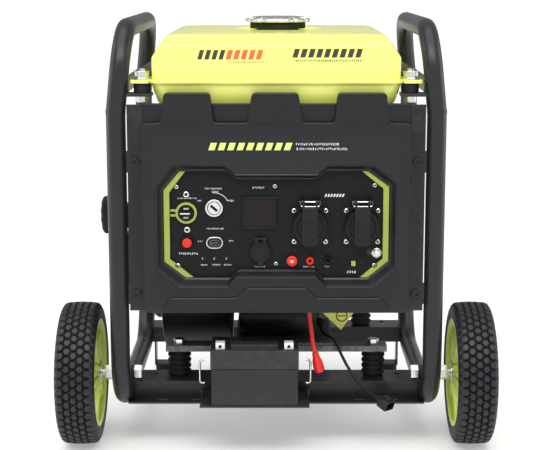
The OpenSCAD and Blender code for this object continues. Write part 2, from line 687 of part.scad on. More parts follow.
tank_y = 0;
cap_x = 2;
tw = tank_w / 2;
module tank_upper_block(g) intersection() {
  plate_y(tank_y + g, tank_y + tank_l - g, [[-tw + g, tank_seam - 1], [-tw + g, 530 - g / 2],
    [-tw + 19 + g, tank_high - 3 - g], [-100, tank_high - g], [100, tank_high - g],
    [tw - 19 - g, tank_high - 3 - g], [tw - g, 530 - g / 2], [tw - g, tank_seam - 1]]);
  plate_x(-tw, tw, [[tank_y + g, tank_seam], [tank_y + g, 546 - g], [tank_y + 30 + g, tank_high - g],
    [tank_y + tank_l - 30 - g, tank_high - g], [tank_y + tank_l - g, 546 - g],
    [tank_y + tank_l - g, tank_seam]]);
}
module ear_plate(z0, z1) both_sides() for (y = isolator_y) difference() {
  block([tw - 3, y - 13, z0], [187, y + 13, z1]);
  rod_z(z0 - 1, z1 + 1, isolator_x, y, 4.3);
}
module tank_upper() placed() color(lime) difference() {
  union() {
    tank_upper_block(0);
    difference() {
      block([-tw - 6, tank_y - 5, tank_seam], [tw + 6, tank_y + tank_l + 5, tank_seam + 2]);
      block([-tw + 1, tank_y + 1, tank_seam - 1], [tw - 1, tank_y + tank_l - 1, tank_seam + 3]);
    }
    ear_plate(tank_seam, tank_seam + 2);
    rod_z(tank_high - tank_t, tank_high + 6, cap_x, neck_y, neck_r + 3);
  }
  difference() {
    tank_upper_block(tank_t);
    rod_z(tank_high - 12, tank_high + 6, cap_x, neck_y, neck_r + 3);
  }
  rod_z(tank_high - 40, tank_high + 7, cap_x, neck_y, neck_r);
}

module tank_lower_block(g) intersection() {
  plate_y(tank_y + g, tank_y + tank_l - g, [[-146 + g, tank_low + g], [-tw + 12 + g, tank_low + 18],
    [-tw + g, tank_seam - 8], [-tw + g, tank_seam + g], [tw - g, tank_seam + g],
    [tw - g, tank_seam - 8], [tw - 12 - g, tank_low + 18], [146 - g, tank_low + g]]);
  plate_x(-tw, tw, [[tank_y + 18 + g, tank_low + g], [tank_y + g, tank_seam - 10],
    [tank_y + g, tank_seam + g], [tank_y + tank_l - g, tank_seam + g],
    [tank_y + tank_l - g, tank_seam - 10], [tank_y + tank_l - 18 - g, tank_low + g]]);
}
module tank_lower() placed() color([0.55, 0.66, 0.10]) difference() {
  union() {
    tank_lower_block(0);
    block([-tw - 6, tank_y - 5, tank_seam - 2], [tw + 6, tank_y + tank_l + 5, tank_seam]);
    ear_plate(tank_seam - 2, tank_seam);
  }
  tank_lower_block(tank_t);
}

module fuel_cap() placed() color([0.72, 0.73, 0.70]) {
  difference() {
    union() {
      rod_z(tank_high + 9, tank_high + 15, cap_x, neck_y, 46);
      rod_z(tank_high + 15, tank_high + 17, cap_x, neck_y, 40);
    }
    for (a = [0 : 30 : 330]) translate([cap_x, neck_y, 0]) rotate([0, 0, a])
      rod_z(tank_high, tank_high + 20, 48, 0, 4);
  }
  rod_z(tank_high - 6, tank_high + 9, cap_x, neck_y, neck_r - 0.5);
}
module cap_seal() placed() color(black) difference() {
  rod_z(tank_high + 0.5, tank_high + 9, cap_x, neck_y, 38.5);
  rod_z(tank_high, tank_high + 10, cap_x, neck_y, neck_r + 3.5);
}

// ---- engine ----

case_x0 = -52;
case_x1 = 74;
case_y0 = 132;
bank = 35;
dip_x = 88;
dip_z = 176;

// Places children in the cylinder's own frame, +Z up the bore from the crankshaft.
module banked() translate([10, crank_y, crank_z]) rotate([-bank, 0, 0]) children();

module crankcase() placed() color([0.33, 0.34, 0.35]) difference() {
  union() {
    block([case_x0, case_y0, 135], [case_x1, 292, 322]);
    block([-56, 72, engine_low], [78, 385, 135]);
    for (y = mount_y) block([-152, y - 15, engine_low], [152, y + 15, engine_low + 8]);
    rod_x(case_x0 - 8, case_x0, crank_y, crank_z, 40);
    rod_x(case_x1, case_x1 + 8, crank_y, crank_z, 34);
    block([60, 124, 158], [106, 170, 196]);
  }
  rod_x(case_x0 + 8, case_x1 - 8, crank_y, crank_z, 66);
  rod_x(case_x0 - 9, case_x1 + 4, crank_y, crank_z, crank_r + running);
  banked() block([-100, -60, 90], [100, 120, 200]);
  for (x = [-mount_x, mount_x]) for (y = mount_y) rod_z(engine_low - 1, engine_low + 9, x, y, 4.3);
  rod_y(120, 168, dip_x, dip_z, 5 + running);
}

module cylinder_fin(z, reach) block([-reach, -44, z], [reach, 44, z + 3]);
module engine_cylinder() placed() color([0.5, 0.5, 0.51]) banked() {
  difference() {
    union() {
      translate([0, 0, 90]) cylinder(h = 62, r = 38, $fn = 96);
      for (i = [0 : 7]) cylinder_fin(90 + 8 * i, 46);
      block([-40, -38, 149], [40, 38, 172]);
      for (i = [0 : 2]) cylinder_fin(154 + 7 * i, 50);
    }
    translate([0, 0, 80]) cylinder(h = 74, r = 30, $fn = 96);
  }
  block([-32, -30, 172], [32, 30, 190]);
  translate([44, 0, 162]) rotate([0, 70, 0]) cylinder(h = 34, r = 8, $fn = 48);
}

module starter_motor() placed() color([0.20, 0.20, 0.21]) {
  rod_x(-44, 40, 103, 168, 27);
  rod_x(-50, -44, 103, 168, 20);
  rod_x(-20, 30, 98, 202, 12);
}

module muffler() placed() color([0.42, 0.42, 0.43]) {
  block([92, 240, 190], [178, 362, 322]);
  rod_y(362, 388, 150, 250, 10);
  for (i = [0 : 4]) block([178, 250 + 24 * i, 200], [181, 256 + 24 * i, 312]);
}

module air_cleaner() placed() color(black) {
  block([92, 74, 214], [172, 160, 330]);
  block([112, 160, 240], [150, 214, 290]);
  rod_x(86, 92, 116, 270, 20);
}

fan_x0 = -158;
fan_x1 = -64;
module fan_housing() placed() color(black) difference() {
  rod_x(fan_x0, fan_x1, crank_y, crank_z, fan_r);
  rod_x(fan_x0 + 4, fan_x1 + 1, crank_y, crank_z, fan_r - 4);
  rod_x(fan_x0 - 1, fan_x0 + 5, crank_y, crank_z, 64);
}

module crankshaft() placed() color([0.58, 0.58, 0.58]) {
  rod_x(-132, -4, crank_y, crank_z, crank_r);
  rod_x(24, case_x1, crank_y, crank_z, crank_r);
  for (x = [-8, 16]) rod_x(x, x + 12, crank_y, crank_z, 50);
  rod_x(2, 18, crank_y, crank_z + 30, 13);
  difference() {
    rod_x(-130, -72, crank_y, crank_z, 104);
    rod_x(-126, -71, crank_y, crank_z, 96);
  }
  for (a = [15 : 30 : 345]) translate([0, crank_y, crank_z]) rotate([a, 0, 0])
    block([-148, -1.5, 46], [-128, 1.5, 100]);
  rod_x(-134, -122, crank_y, crank_z, 30);
}

module stator() placed() color([0.62, 0.36, 0.2]) difference() {
  union() {
    rod_x(-118, -76, crank_y, crank_z, 92);
    rod_x(-76, -60, crank_y, crank_z, 34);
  }
  rod_x(-119, -59, crank_y, crank_z, crank_r + 3);
  for (a = [0 : 20 : 340]) translate([0, crank_y, crank_z]) rotate([a, 0, 0])
    block([-119, -4, 62], [-75, 4, 88]);
}

pulley_r = 60;
stub_r = 8;
handle_y = 150;
handle_z = 300;
module dome(g) translate([fan_x0, crank_y, crank_z]) rotate([0, -90, 0]) {
  cylinder(h = 12, r = 92 - g, $fn = 96);
  translate([0, 0, 12]) cylinder(h = 40 - g, r1 = 92 - g, r2 = 64 - g, $fn = 96);
}
module recoil_cover() placed() color(black) {
  difference() {
    dome(0);
    translate([1, 0, 0]) dome(3);
    for (a = [0 : 30 : 330]) translate([0, crank_y, crank_z]) rotate([a, 0, 0])
      block([-220, -4, 34], [-196, 4, 54]);
    block([-225, handle_y - 6, handle_z - 6], [-150, handle_y + 6, handle_z + 6]);
  }
  rod_x(-207, -166, crank_y, crank_z, stub_r);
  difference() {
    block([-221, handle_y - 14, handle_z - 16], [-165, handle_y + 14, handle_z + 16]);
    block([-222, handle_y - 5, handle_z - 5], [-150, handle_y + 5, handle_z + 5]);
    dome(0);
  }
}
module recoil_pulley() placed() color([0.75, 0.75, 0.72]) difference() {
  rod_x(-184, -168, crank_y, crank_z, pulley_r + 6);
  rod_x(-185, -150, crank_y, crank_z, stub_r + running);
  difference() {
    rod_x(-180, -172, crank_y, crank_z, pulley_r + 7);
    rod_x(-181, -171, crank_y, crank_z, pulley_r);
  }
}
module recoil_handle() placed() color(black) {
  block([-247, handle_y - 9, handle_z - 26], [-233, handle_y + 9, handle_z + 27]);
  block([-233, handle_y - 6, handle_z - 12], [-222, handle_y + 6, handle_z + 12]);
}

module oil_dipstick() placed() {
  color([0.75, 0.70, 0.1]) {
    rod_y(110, 124, dip_x, dip_z, 12);
    block([dip_x - 11, 104, dip_z - 2.5], [dip_x + 11, 110, dip_z + 2.5]);
  }
  color(zinc) rod_y(124, 160, dip_x, dip_z, 5);
}

tag_y = 101;
module oil_tag() placed() color(lime) difference() {
  plate_y(tag_y, tag_y + 1.6, [[65, 170], [71, 177], [112, 177], [90, 146]]);
  rod_y(tag_y - 1, tag_y + 3, dip_x + 2, 172, 1.6);
}

// ---- battery ----

bx0 = battery_x - battery_w / 2;
bx1 = battery_x + battery_w / 2;
battery_top = battery_low + battery_h;
module battery_case() placed() color([0.10, 0.105, 0.11]) {
  block([bx0, battery_y, battery_low], [bx1, battery_y + battery_d, battery_low + 50]);
  block([bx0 - 1, battery_y - 1, battery_low + 50], [bx1 + 1, battery_y + battery_d + 1, battery_top]);
  block([bx0 + 26, battery_y + 6, battery_top], [bx1 - 26, battery_y + 26, battery_top + 6]);
}
terminal_x = [bx0 + 12, bx1 - 12];
module battery_terminals() placed() color([0.62, 0.62, 0.60]) for (x = terminal_x) {
  block([x - 6, battery_y + 4, battery_top], [x + 6, battery_y + 16, battery_top + 9]);
  rod_y(battery_y + 1, battery_y + 4, x, battery_top + 4.5, 3.2);
}
hook_y = 30;
hook_r = 1.4;
// Wire hook that holds the battery down, one each side: a rod with its ends bent back.
module hook() translate([bx1 + 14, hook_y, battery_low + 33]) {
  bent([[12, 90, 4, 180], [2, 0, 4, 0]], hook_r);
  mirror([0, 0, 1]) bent([[12, 90, 4, 180], [2, 0, 4, 0]], hook_r);
}
tray_wing = 12;
module battery_tray() placed() {
  color(frame_grey) {
    block([bx0 - tray_wing, battery_y - 2, battery_low - 2], [bx1 + tray_wing, 52, battery_low]);
    for (x = [bx0 + 10, bx1 - 30])
      block([x, 30, bar_low + 2.5], [x + 20, 50, battery_low - 2]);
    for (x = [bx0 - tray_wing, bx1 + tray_wing - 2])
      block([x, 18, battery_low], [x + 2, 26, battery_low + 10]);
  }
  color(zinc) {
    hook();
    translate([2 * battery_x, 0, 0]) mirror([1, 0, 0]) hook();
  }
}

// ---- the two free leads ----

red_route = [[44, 24, 196], [44, 24, 192.5], [44, 24, 189], [44.2, 23.8, 185.5],
  [44.5, 23.5, 182], [45, 23, 178], [45.5, 22.5, 174], [46, 22, 170], [46.5, 21.5, 166],
  [47, 20.8, 162], [47.5, 20, 158], [48, 19.3, 154], [48.5, 18.5, 150], [49.2, 17.5, 146.5],
  [50, 16.5, 143], [50.7, 15.8, 140.5], [51.5, 15, 138]];
charge_route = [[62, 122, 150], [62, 114, 149.5], [62.5, 107, 147], [64, 101, 144],
  [67, 95, 142], [71, 87.5, 141.5], [76, 79.5, 141], [80.2, 72.6, 138.6], [83.4, 67.8, 133.4],
  [86.4, 64.6, 126.8], [90, 62, 119.5], [95, 58.5, 110], [101, 54, 100.5], [107, 49.5, 93],
  [113, 44, 86.5], [119, 38, 81.5], [125, 32, 78], [131, 26, 75.5], [136, 21, 74]];
module red_lead() placed() color(red) swept(red_route, 2.75, 10);
module charge_lead() placed() color(black) swept(charge_route, 2, 8);

boot_tilt = 14;
module red_boot() placed() color(red) translate([51.5, 15, 138]) rotate([0, 180 - boot_tilt, 0])
  cylinder(h = 27, r1 = 4.5, r2 = 8.5, $fn = 64);

plug_at = [136, 21, 74];
module charge_plug() placed() color(black) translate(plug_at) rotate([0, 0, -45]) rotate([0, 110, 0]) {
  cylinder(h = 7, r = 3.6, $fn = 48);
  translate([-7, -9, 7]) cube([14, 18, 17]);
}

frame_loop_left();
frame_loop_right();
lower_crossbar_front();
lower_crossbar_rear();
tank_supports();
foot_pads();
rubber_mounts();
frame_bolts();
tyre_left();
rim_left();
tyre_right();
rim_right();
fascia();
fascia_brackets();
front_screws();
control_panel();
panel_trim();
display();
display_window();
key_switch();
key_rotor();
selector_ring();
selector_knob();
start_button();
rocker_bezel();
eco_rocker();
indicator_lamps();
dc_socket();
dc_cap();
ac_outlets();
outlet_cover_left();
outlet_cover_right();
breaker_button();
parallel_sockets();
ground_terminal();
inverter_module();
tank_lower();
tank_upper();
fuel_cap();
cap_seal();
crankcase();
engine_cylinder();
starter_motor();
muffler();
air_cleaner();
fan_housing();
crankshaft();
stator();
recoil_cover();
recoil_pulley();
recoil_handle();
oil_dipstick();
oil_tag();
battery_case();
battery_terminals();
battery_tray();
red_lead();
red_boot();
charge_lead();
charge_plug();
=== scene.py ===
"""Looks of an open-frame inverter generator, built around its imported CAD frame."""

import json
import math
import random

import bmesh
import bpy
from mathutils import Matrix, Vector


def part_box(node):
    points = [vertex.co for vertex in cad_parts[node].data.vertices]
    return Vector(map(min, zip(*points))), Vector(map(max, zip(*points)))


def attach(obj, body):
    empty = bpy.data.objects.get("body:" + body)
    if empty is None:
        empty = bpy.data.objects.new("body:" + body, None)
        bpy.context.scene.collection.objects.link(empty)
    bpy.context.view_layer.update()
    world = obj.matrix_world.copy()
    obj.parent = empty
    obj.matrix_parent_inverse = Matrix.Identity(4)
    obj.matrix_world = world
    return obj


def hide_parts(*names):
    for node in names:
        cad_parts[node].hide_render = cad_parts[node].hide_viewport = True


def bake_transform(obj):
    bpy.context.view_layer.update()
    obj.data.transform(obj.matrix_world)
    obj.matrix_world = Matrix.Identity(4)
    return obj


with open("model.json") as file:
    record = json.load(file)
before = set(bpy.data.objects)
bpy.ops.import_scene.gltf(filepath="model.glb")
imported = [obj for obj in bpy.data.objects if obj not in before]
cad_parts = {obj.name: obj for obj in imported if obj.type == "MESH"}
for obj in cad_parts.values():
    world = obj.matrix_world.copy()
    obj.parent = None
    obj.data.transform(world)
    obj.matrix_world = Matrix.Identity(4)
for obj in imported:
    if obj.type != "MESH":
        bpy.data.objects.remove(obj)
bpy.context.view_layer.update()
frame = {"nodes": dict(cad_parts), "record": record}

MM = 0.001
TUBE_R = 12.7
# Row-frame y of the front uprights' centre plane. Shapes below are drawn in millimetres
# with y measured back from that plane, as the CAD source does.
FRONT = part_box("frame_loop_right")[0][1] / MM + TUBE_R
PANEL_Y = -5.0
FASCIA_Y = -20.0


def place(x, y, z):
    return Vector((x, y + FRONT, z)) * MM


def span(node):
    """Lowest and highest corner of a CAD node, in drawing millimetres."""
    lo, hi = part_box(node)
    return [
        Vector((p[0] / MM, p[1] / MM - FRONT, p[2] / MM)) for p in (lo, hi)
    ]


def middle(node):
    lo, hi = span(node)
    return (lo + hi) / 2


def put(name, data):
    """A new object in the scene that shows this data."""
    obj = bpy.data.objects.new(name, data)
    bpy.context.collection.objects.link(obj)
    return obj


# ---- camera ----

IMAGE_W = 550
LENS_PIXELS = 1396
SHIFT_PIXELS = -1.3
SENSOR_W = 36
PITCH = 10.27
CAMERA_AT = (0, -1786, 636.5)
camera = bpy.data.cameras.new("camera")
camera.sensor_width = SENSOR_W
camera.lens = SENSOR_W * LENS_PIXELS / IMAGE_W
camera.shift_x = SHIFT_PIXELS / IMAGE_W
camera_object = put("camera", camera)
camera_object.location = place(*CAMERA_AT)
camera_object.rotation_euler = (math.radians(90 - PITCH), 0, 0)
bpy.context.scene.camera = camera_object

# ---- materials ----


class Nodes:
    """Short names for the node calls that every material makes."""

    def __init__(self, name):
        self.material = bpy.data.materials.new(name)
        self.material.use_nodes = True
        self.tree = self.material.node_tree
        self.shader = self.tree.nodes["Principled BSDF"]
        self.coords = self.tree.nodes.new("ShaderNodeTexCoord").outputs["Object"]

    def link(self, out, socket):
        self.tree.links.new(out, socket)

    def noise(self, scale, detail=3.0, rough=0.5, stretch=None):
        node = self.tree.nodes.new("ShaderNodeTexNoise")
        node.inputs["Scale"].default_value = scale
        node.inputs["Detail"].default_value = detail
        node.inputs["Roughness"].default_value = rough
        source = self.coords
        if stretch:
            mapping = self.tree.nodes.new("ShaderNodeMapping")
            mapping.inputs["Scale"].default_value = stretch
            self.link(self.coords, mapping.inputs["Vector"])
            source = mapping.outputs["Vector"]
        self.link(source, node.inputs["Vector"])
        return node.outputs["Fac"]

    def spread(self, value, low, high, start=0.3, end=0.7):
        node = self.tree.nodes.new("ShaderNodeMapRange")
        for name, number in (
            ("From Min", start), ("From Max", end), ("To Min", low), ("To Max", high),
        ):
            node.inputs[name].default_value = number
        self.link(value, node.inputs["Value"])
        return node.outputs["Result"]

    def blend(self, factor, a, b):
        """Colour that goes from a to b. Either may be a socket or a colour."""
        node = self.tree.nodes.new("ShaderNodeMix")
        node.data_type = "RGBA"
        self.link(factor, node.inputs[0])
        for socket, value in ((node.inputs[6], a), (node.inputs[7], b)):
            if isinstance(value, tuple):
                socket.default_value = (*value, 1)
            else:
                self.link(value, socket)
        return node.outputs[2]

    def bump(self, height, distance, strength=1.0):
        node = self.tree.nodes.new("ShaderNodeBump")
        node.inputs["Distance"].default_value = distance * MM
        node.inputs["Strength"].default_value = strength
        self.link(height, node.inputs["Height"])
        return node.outputs["Normal"]

    def edges(self, low, high):
        """1 on convex edges of dense meshes, 0 on flats."""
        node = self.tree.nodes.new("ShaderNodeNewGeometry")
        return self.spread(node.outputs["Pointiness"], 0, 1, low, high)


def tinted(colour, factor):
    return tuple(min(1.0, c * factor) for c in colour)


def finish(
    name, colour, rough, metal=0.0, grain=900.0, depth=0.02, vary=0.08, worn=None, coat=0.0,
    brushed=None, specular=0.5, dust=None,
):
    """A painted, moulded, cast or plated finish: mottled colour, uneven gloss and a fine
    surface grain, with optional wear on the edges and dust in the colour."""
    n = Nodes(name)
    shader = n.shader
    shader.inputs["Metallic"].default_value = metal
    shader.inputs["Specular IOR Level"].default_value = specular
    if coat:
        shader.inputs["Coat Weight"].default_value = coat
        shader.inputs["Coat Roughness"].default_value = 0.12
    mottled = n.blend(
        n.spread(n.noise(45, 6, 0.65), 0, 1, 0.25, 0.75), tinted(colour, 1 - vary),
        tinted(colour, 1 + vary)
    )
    if dust:
        speck = n.spread(n.noise(220, 6, 0.7), 0, 0.35, 0.52, 0.78)
        mottled = n.blend(speck, mottled, dust)
    if worn:
        mask = n.tree.nodes.new("ShaderNodeMath")
        mask.operation = "MULTIPLY"
        n.link(n.edges(0.54, 0.62), mask.inputs[0])
        n.link(n.spread(n.noise(90, 5, 0.7), 0, 1, 0.35, 0.65), mask.inputs[1])
        mottled = n.blend(mask.outputs[0], mottled, worn)
    n.link(mottled, shader.inputs["Base Color"])
    uneven = n.spread(n.noise(75, 6, 0.65), max(0.03, rough - 0.05), min(1, rough + 0.06),
        0.25, 0.75)
    n.link(uneven, shader.inputs["Roughness"])
    fine = n.noise(grain, 4, 0.6, brushed)
    n.link(n.bump(fine, depth, 0.8), shader.inputs["Normal"])
    n.material.diffuse_color = (*colour, 1)
    return n.material


LIME = (0.62, 0.70, 0.085)
TANK_LIME = (0.80, 0.84, 0.17)
BARE = (0.42, 0.43, 0.44)
SCUFFED = (0.05, 0.05, 0.052)
DUST = (0.03, 0.03, 0.029)


def look(*values, **options):
    """Settings of a finish, kept for the table below."""
    return values, options


LOOKS = {
    "frame_paint": look((0.011, 0.0122, 0.014), 0.34, grain=1300,
        worn=(0.045, 0.045, 0.048), specular=0.36),
    "bracket_paint": look((0.007, 0.0075, 0.0085), 0.34, grain=1200, worn=SCUFFED, specular=0.35),
    "rubber": look((0.007, 0.007, 0.0075), 0.70, grain=600, depth=0.04, dust=DUST, specular=0.3),
    "zinc": look((0.72, 0.72, 0.70), 0.28, 1.0, grain=700, vary=0.12, brushed=(1, 1, 6)),
    "tyre": look((0.0085, 0.0095, 0.012), 0.52, grain=420, depth=0.06, vary=0.15,
        dust=DUST, specular=0.42),
    "lime_plastic": look(tinted(LIME, 1.12), 0.36, vary=0.05, grain=500, worn=(0.72, 0.80, 0.30)),
    "fascia_plastic": look((0.0066, 0.0080, 0.0096), 0.34, grain=1500,
        depth=0.03, worn=(0.04, 0.045, 0.05), specular=0.36),
    "panel_face": look((0.0036, 0.0048, 0.0054), 0.5, grain=1700, depth=0.03, specular=0.20),
    "trim_lime": look((0.27, 0.345, 0.05), 0.40, vary=0.06, grain=800),
    "black_plastic": look((0.0024, 0.0028, 0.0032), 0.38, grain=1100, specular=0.24),
    "cover_plastic": look((0.0085, 0.0108, 0.0102), 0.46, grain=1200, specular=0.22),
    "display_glass": look((0.0095, 0.0060, 0.0060), 0.22, depth=0.004, specular=0.22),
    "key_metal": look((0.74, 0.74, 0.73), 0.24, 1.0, grain=900, brushed=(1, 8, 1)),
    "red_plastic": look((0.60, 0.026, 0.012), 0.36, vary=0.06, specular=0.25),
    "lamp": look((0.006, 0.006, 0.007), 0.2, specular=0.3),
    "bare_aluminium": look((0.56, 0.57, 0.58), 0.40, 1.0, grain=500, brushed=(8, 1, 1)),
    "tank_paint": look(TANK_LIME, 0.22, vary=0.03, grain=260, depth=0.012, coat=0.5),
    # tank_shade is tank_paint's lime darkened to 0.86 for the tank's lower half: painted shade
    "tank_shade": look(tinted(TANK_LIME, 0.86), 0.24, vary=0.03, grain=260,
        depth=0.012, coat=0.5),
    "cap_metal": look((0.66, 0.67, 0.64), 0.30, 1.0, grain=500, vary=0.10),
    "cast_alloy": look((0.10, 0.103, 0.108), 0.55, 0.6, grain=340, depth=0.12,
        vary=0.18, worn=BARE),
    "black_metal": look((0.009, 0.009, 0.010), 0.40, 0.1, grain=700,
        depth=0.05, worn=SCUFFED, specular=0.35),
    "muffler_steel": look((0.20, 0.195, 0.19), 0.48, 0.9, grain=300, depth=0.05, vary=0.22),
    "machined_steel": look((0.50, 0.50, 0.50), 0.30, 1.0, grain=600, brushed=(12, 1, 1)),
    "copper": look((0.42, 0.16, 0.06), 0.38, 0.7, grain=300, brushed=(1, 20, 20)),
    "pulley_plastic": look((0.50, 0.49, 0.44), 0.5, vary=0.06),
    "dipstick_yellow": look((0.62, 0.42, 0.02), 0.42, vary=0.07),
    "battery_plastic": look((0.0105, 0.0120, 0.0135), 0.44, grain=800,
        depth=0.03, worn=SCUFFED, specular=0.4),
    "lead_metal": look((0.80, 0.80, 0.78), 0.50, 0.45, grain=400, vary=0.15),
    "red_rubber": look((0.66, 0.018, 0.014), 0.42, vary=0.08, grain=500),
    "cable_black": look((0.006, 0.006, 0.0068), 0.45, grain=500, specular=0.4),
}
finishes = {
    name: finish(name, *values, **options) for name, (values, options) in LOOKS.items()
}
# the white below serves the print and also the painted glints on the indicator lamps
white_marks = finish("white_marks", (0.62, 0.63, 0.64), 0.6, vary=0.10, grain=1500)
# the grey below serves the earth sign's print and also the painted glints on the eco rocker
print_and_glint_grey = finish("print_and_glint_grey", (0.10, 0.105, 0.11), 0.6, vary=0.10, grain=1500)
print_lime = finish("print_lime", (0.56, 0.66, 0.16), 0.5, vary=0.06, grain=1500)
print_dark = finish("print_dark", (0.022, 0.026, 0.022), 0.5, vary=0.10, grain=1500)
print_red = finish("print_red", (0.70, 0.10, 0.035), 0.5, vary=0.08, grain=1500)

# ---- mesh helpers ----


def add(name, verts, faces, body, slot, material=None, bevel=0.0, angle=35, replaces=()):
    """A closed mesh drawn in millimetres, riding on body, its edges rounded by bevel."""
    mesh = bpy.data.meshes.new(name)
    mesh.from_pydata([place(*v) for v in verts], [], faces)
    work = bmesh.new()
    work.from_mesh(mesh)
    bmesh.ops.recalc_face_normals(work, faces=work.faces)
    work.to_mesh(mesh)
    work.free()
    mesh.shade_smooth()
    mesh.set_sharp_from_angle(angle=math.radians(angle))
    mesh.materials.append(material or finishes[slot])
    obj = put(name, mesh)
    if bevel:
        soften(obj, bevel, angle)
    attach(obj, body)
    if replaces:
        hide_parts(*replaces)
    return obj


def soften(obj, width, angle=35, clean=False):
    """Rounds an object's edges without touching its mesh."""
    if clean:
        weld = obj.modifiers.new("weld", "WELD")
        weld.merge_threshold = 0.00002
        flat = obj.modifiers.new("flat", "DECIMATE")
        flat.decimate_type = "DISSOLVE"
        flat.angle_limit = math.radians(0.6)
    round_off = obj.modifiers.new("round", "BEVEL")
    round_off.width = width * MM
    round_off.segments = 2
    round_off.limit_method = "ANGLE"
    round_off.angle_limit = math.radians(angle)
    round_off.harden_normals = True
    round_off.miter_outer = "MITER_ARC"
    even = obj.modifiers.new("even", "WEIGHTED_NORMAL")
    even.keep_sharp = True


def join(parts):
    """One vertex and face list out of several."""
    verts, faces = [], []
    for v, f in parts:
        start = len(verts)
        verts += v
        faces += [[i + start for i in face] for face in f]
    return verts, faces


def loft(rings, caps=True, looped=False):
    """Skins equal rings of points, in order. A looped one also joins its last to its first."""
    count = len(rings[0])
    verts = [p for ring in rings for p in ring]
    faces = []
    for i in range(len(rings) - 1):
        for k in range(count):
            a, b = i * count + k, i * count + (k + 1) % count
            faces.append([a, b, b + count, a + count])
    if looped:
        last = (len(rings) - 1) * count
        faces += [[last + k, last + (k + 1) % count, (k + 1) % count, k] for k in range(count)]
    elif caps:
        faces.append(list(range(count))[::-1])
        faces.append([(len(rings) - 1) * count + k for k in range(count)])
    return verts, faces


def lathe(profile, centre, axis, turns=48, caps=True, looped=False):
    """Turns a profile of (radius, distance along axis) about an axis through centre."""
    across = {"x": (1, 2, 0), "y": (0, 2, 1), "z": (0, 1, 2)}[axis]
    rings = []
    for r, d in profile:
        ring = []
        for k in range(turns):
            a = 2 * math.pi * k / turns
            p = [0.0, 0.0, 0.0]
            p[across[0]] = centre[across[0]] + r * math.cos(a)
            p[across[1]] = centre[across[1]] + r * math.sin(a)
            p[across[2]] = centre[across[2]] + d
            ring.append(tuple(p))
        rings.append(ring)
    return loft(rings, caps, looped)


def block(lo, hi):
    x, y, z = zip(lo, hi)
    corners = [(x[i], y[j], z[k]) for i in (0, 1) for j in (0, 1) for k in (0, 1)]
    return corners, [
        [0, 1, 3, 2], [4, 6, 7, 5], [0, 4, 5, 1], [2, 3, 7, 6], [0, 2, 6, 4], [1, 5, 7, 3],
    ]


def slab(outline, y0, y1):
    """A plate with an outline drawn in x and z, from y0 back to y1."""
    return loft([[(x, y0, z) for x, z in outline], [(x, y1, z) for x, z in outline]])


def rounded(w, h, r, steps=6):
    """Outline of a rounded rectangle about the origin."""
    points = []
    for corner, (sx, sy) in enumerate(((1, 1), (-1, 1), (-1, -1), (1, -1))):
        for i in range(steps + 1):
            a = math.pi / 2 * (corner + i / steps)
            points.append((sx * (w / 2 - r) + r * math.cos(a), sy * (h / 2 - r) + r * math.sin(a)))
    return points


def wire(points, radius, sides=10):
    """A round wire along points."""
    path = [Vector(p) for p in points]
    rings = []
    side = None
    for i, p in enumerate(path):
        heading = (path[min(i + 1, len(path) - 1)] - path[max(i - 1, 0)]).normalized()
        if side is None:
            side = heading.cross(Vector((0.3, 0.1, 1))).normalized()
        side = (side - heading * side.dot(heading)).normalized()
        other = heading.cross(side)
        rings.append(
            [
                tuple(p + radius * (math.cos(a) * side + math.sin(a) * other))
                for a in (2 * math.pi * k / sides for k in range(sides))
            ]
        )
    return loft(rings)


def circle(x, z, radius, steps):
    """Outline of a circle in x and z."""
    angles = [2 * math.pi * k / steps for k in range(steps)]
    return [(x + radius * math.cos(a), z + radius * math.sin(a)) for a in angles]


def rect(x0, z0, x1, z1):
    """Outline of a rectangle in x and z."""
    return [(x0, z0), (x1, z0), (x1, z1), (x0, z1)]


# ---- cords ----

RED_ROUTE = [
    (44, 24, 196), (44, 24, 192.5), (44, 24, 189), (44.2, 23.8, 185.5), (44.5, 23.5, 182),
    (45, 23, 178), (45.5, 22.5, 174), (46, 22, 170), (46.5, 21.5, 166), (47, 20.8, 162),
    (47.5, 20, 158), (48, 19.3, 154), (48.5, 18.5, 150), (49.2, 17.5, 146.5), (50, 16.5, 143),
    (50.7, 15.8, 140.5), (51.5, 15, 138),
]
CHARGE_ROUTE = [
    (62, 122, 150), (62, 114, 149.5), (62.5, 107, 147), (64, 101, 144), (67, 95, 142),
    (71, 87.5, 141.5), (76, 79.5, 141), (80.2, 72.6, 138.6), (83.4, 67.8, 133.4),
    (86.4, 64.6, 126.8), (90, 62, 119.5), (95, 58.5, 110), (101, 54, 100.5), (107, 49.5, 93),
    (113, 44, 86.5), (119, 38, 81.5), (125, 32, 78), (131, 26, 75.5), (136, 21, 74),
]


def lead(name, route, radius, slot, stands_for):
    """A cord as a round curve through its route."""
    curve = bpy.data.curves.new(name, "CURVE")
    curve.dimensions = "3D"
    curve.bevel_depth = radius * MM
    curve.bevel_resolution = 5
    curve.use_fill_caps = True
    spline = curve.splines.new("POLY")
    spline.points.add(len(route) - 1)
    points = [place(*p) for p in route]
    for point, p in zip(spline.points, points):
        point.co = (*p, 1)
    curve.materials.append(finishes[slot])
    obj = put(name, curve)
    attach(obj, "chassis")
    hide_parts(stands_for)


def aimed(parts, origin, direction):
    """Turns a mesh drawn up +z from the origin so that +z points along direction."""
    turn = Vector(direction).to_track_quat("Z", "Y").to_matrix().to_4x4()
    turn = Matrix.Translation(origin) @ turn
    return [tuple(turn @ Vector(v)) for v in parts[0]], parts[1]


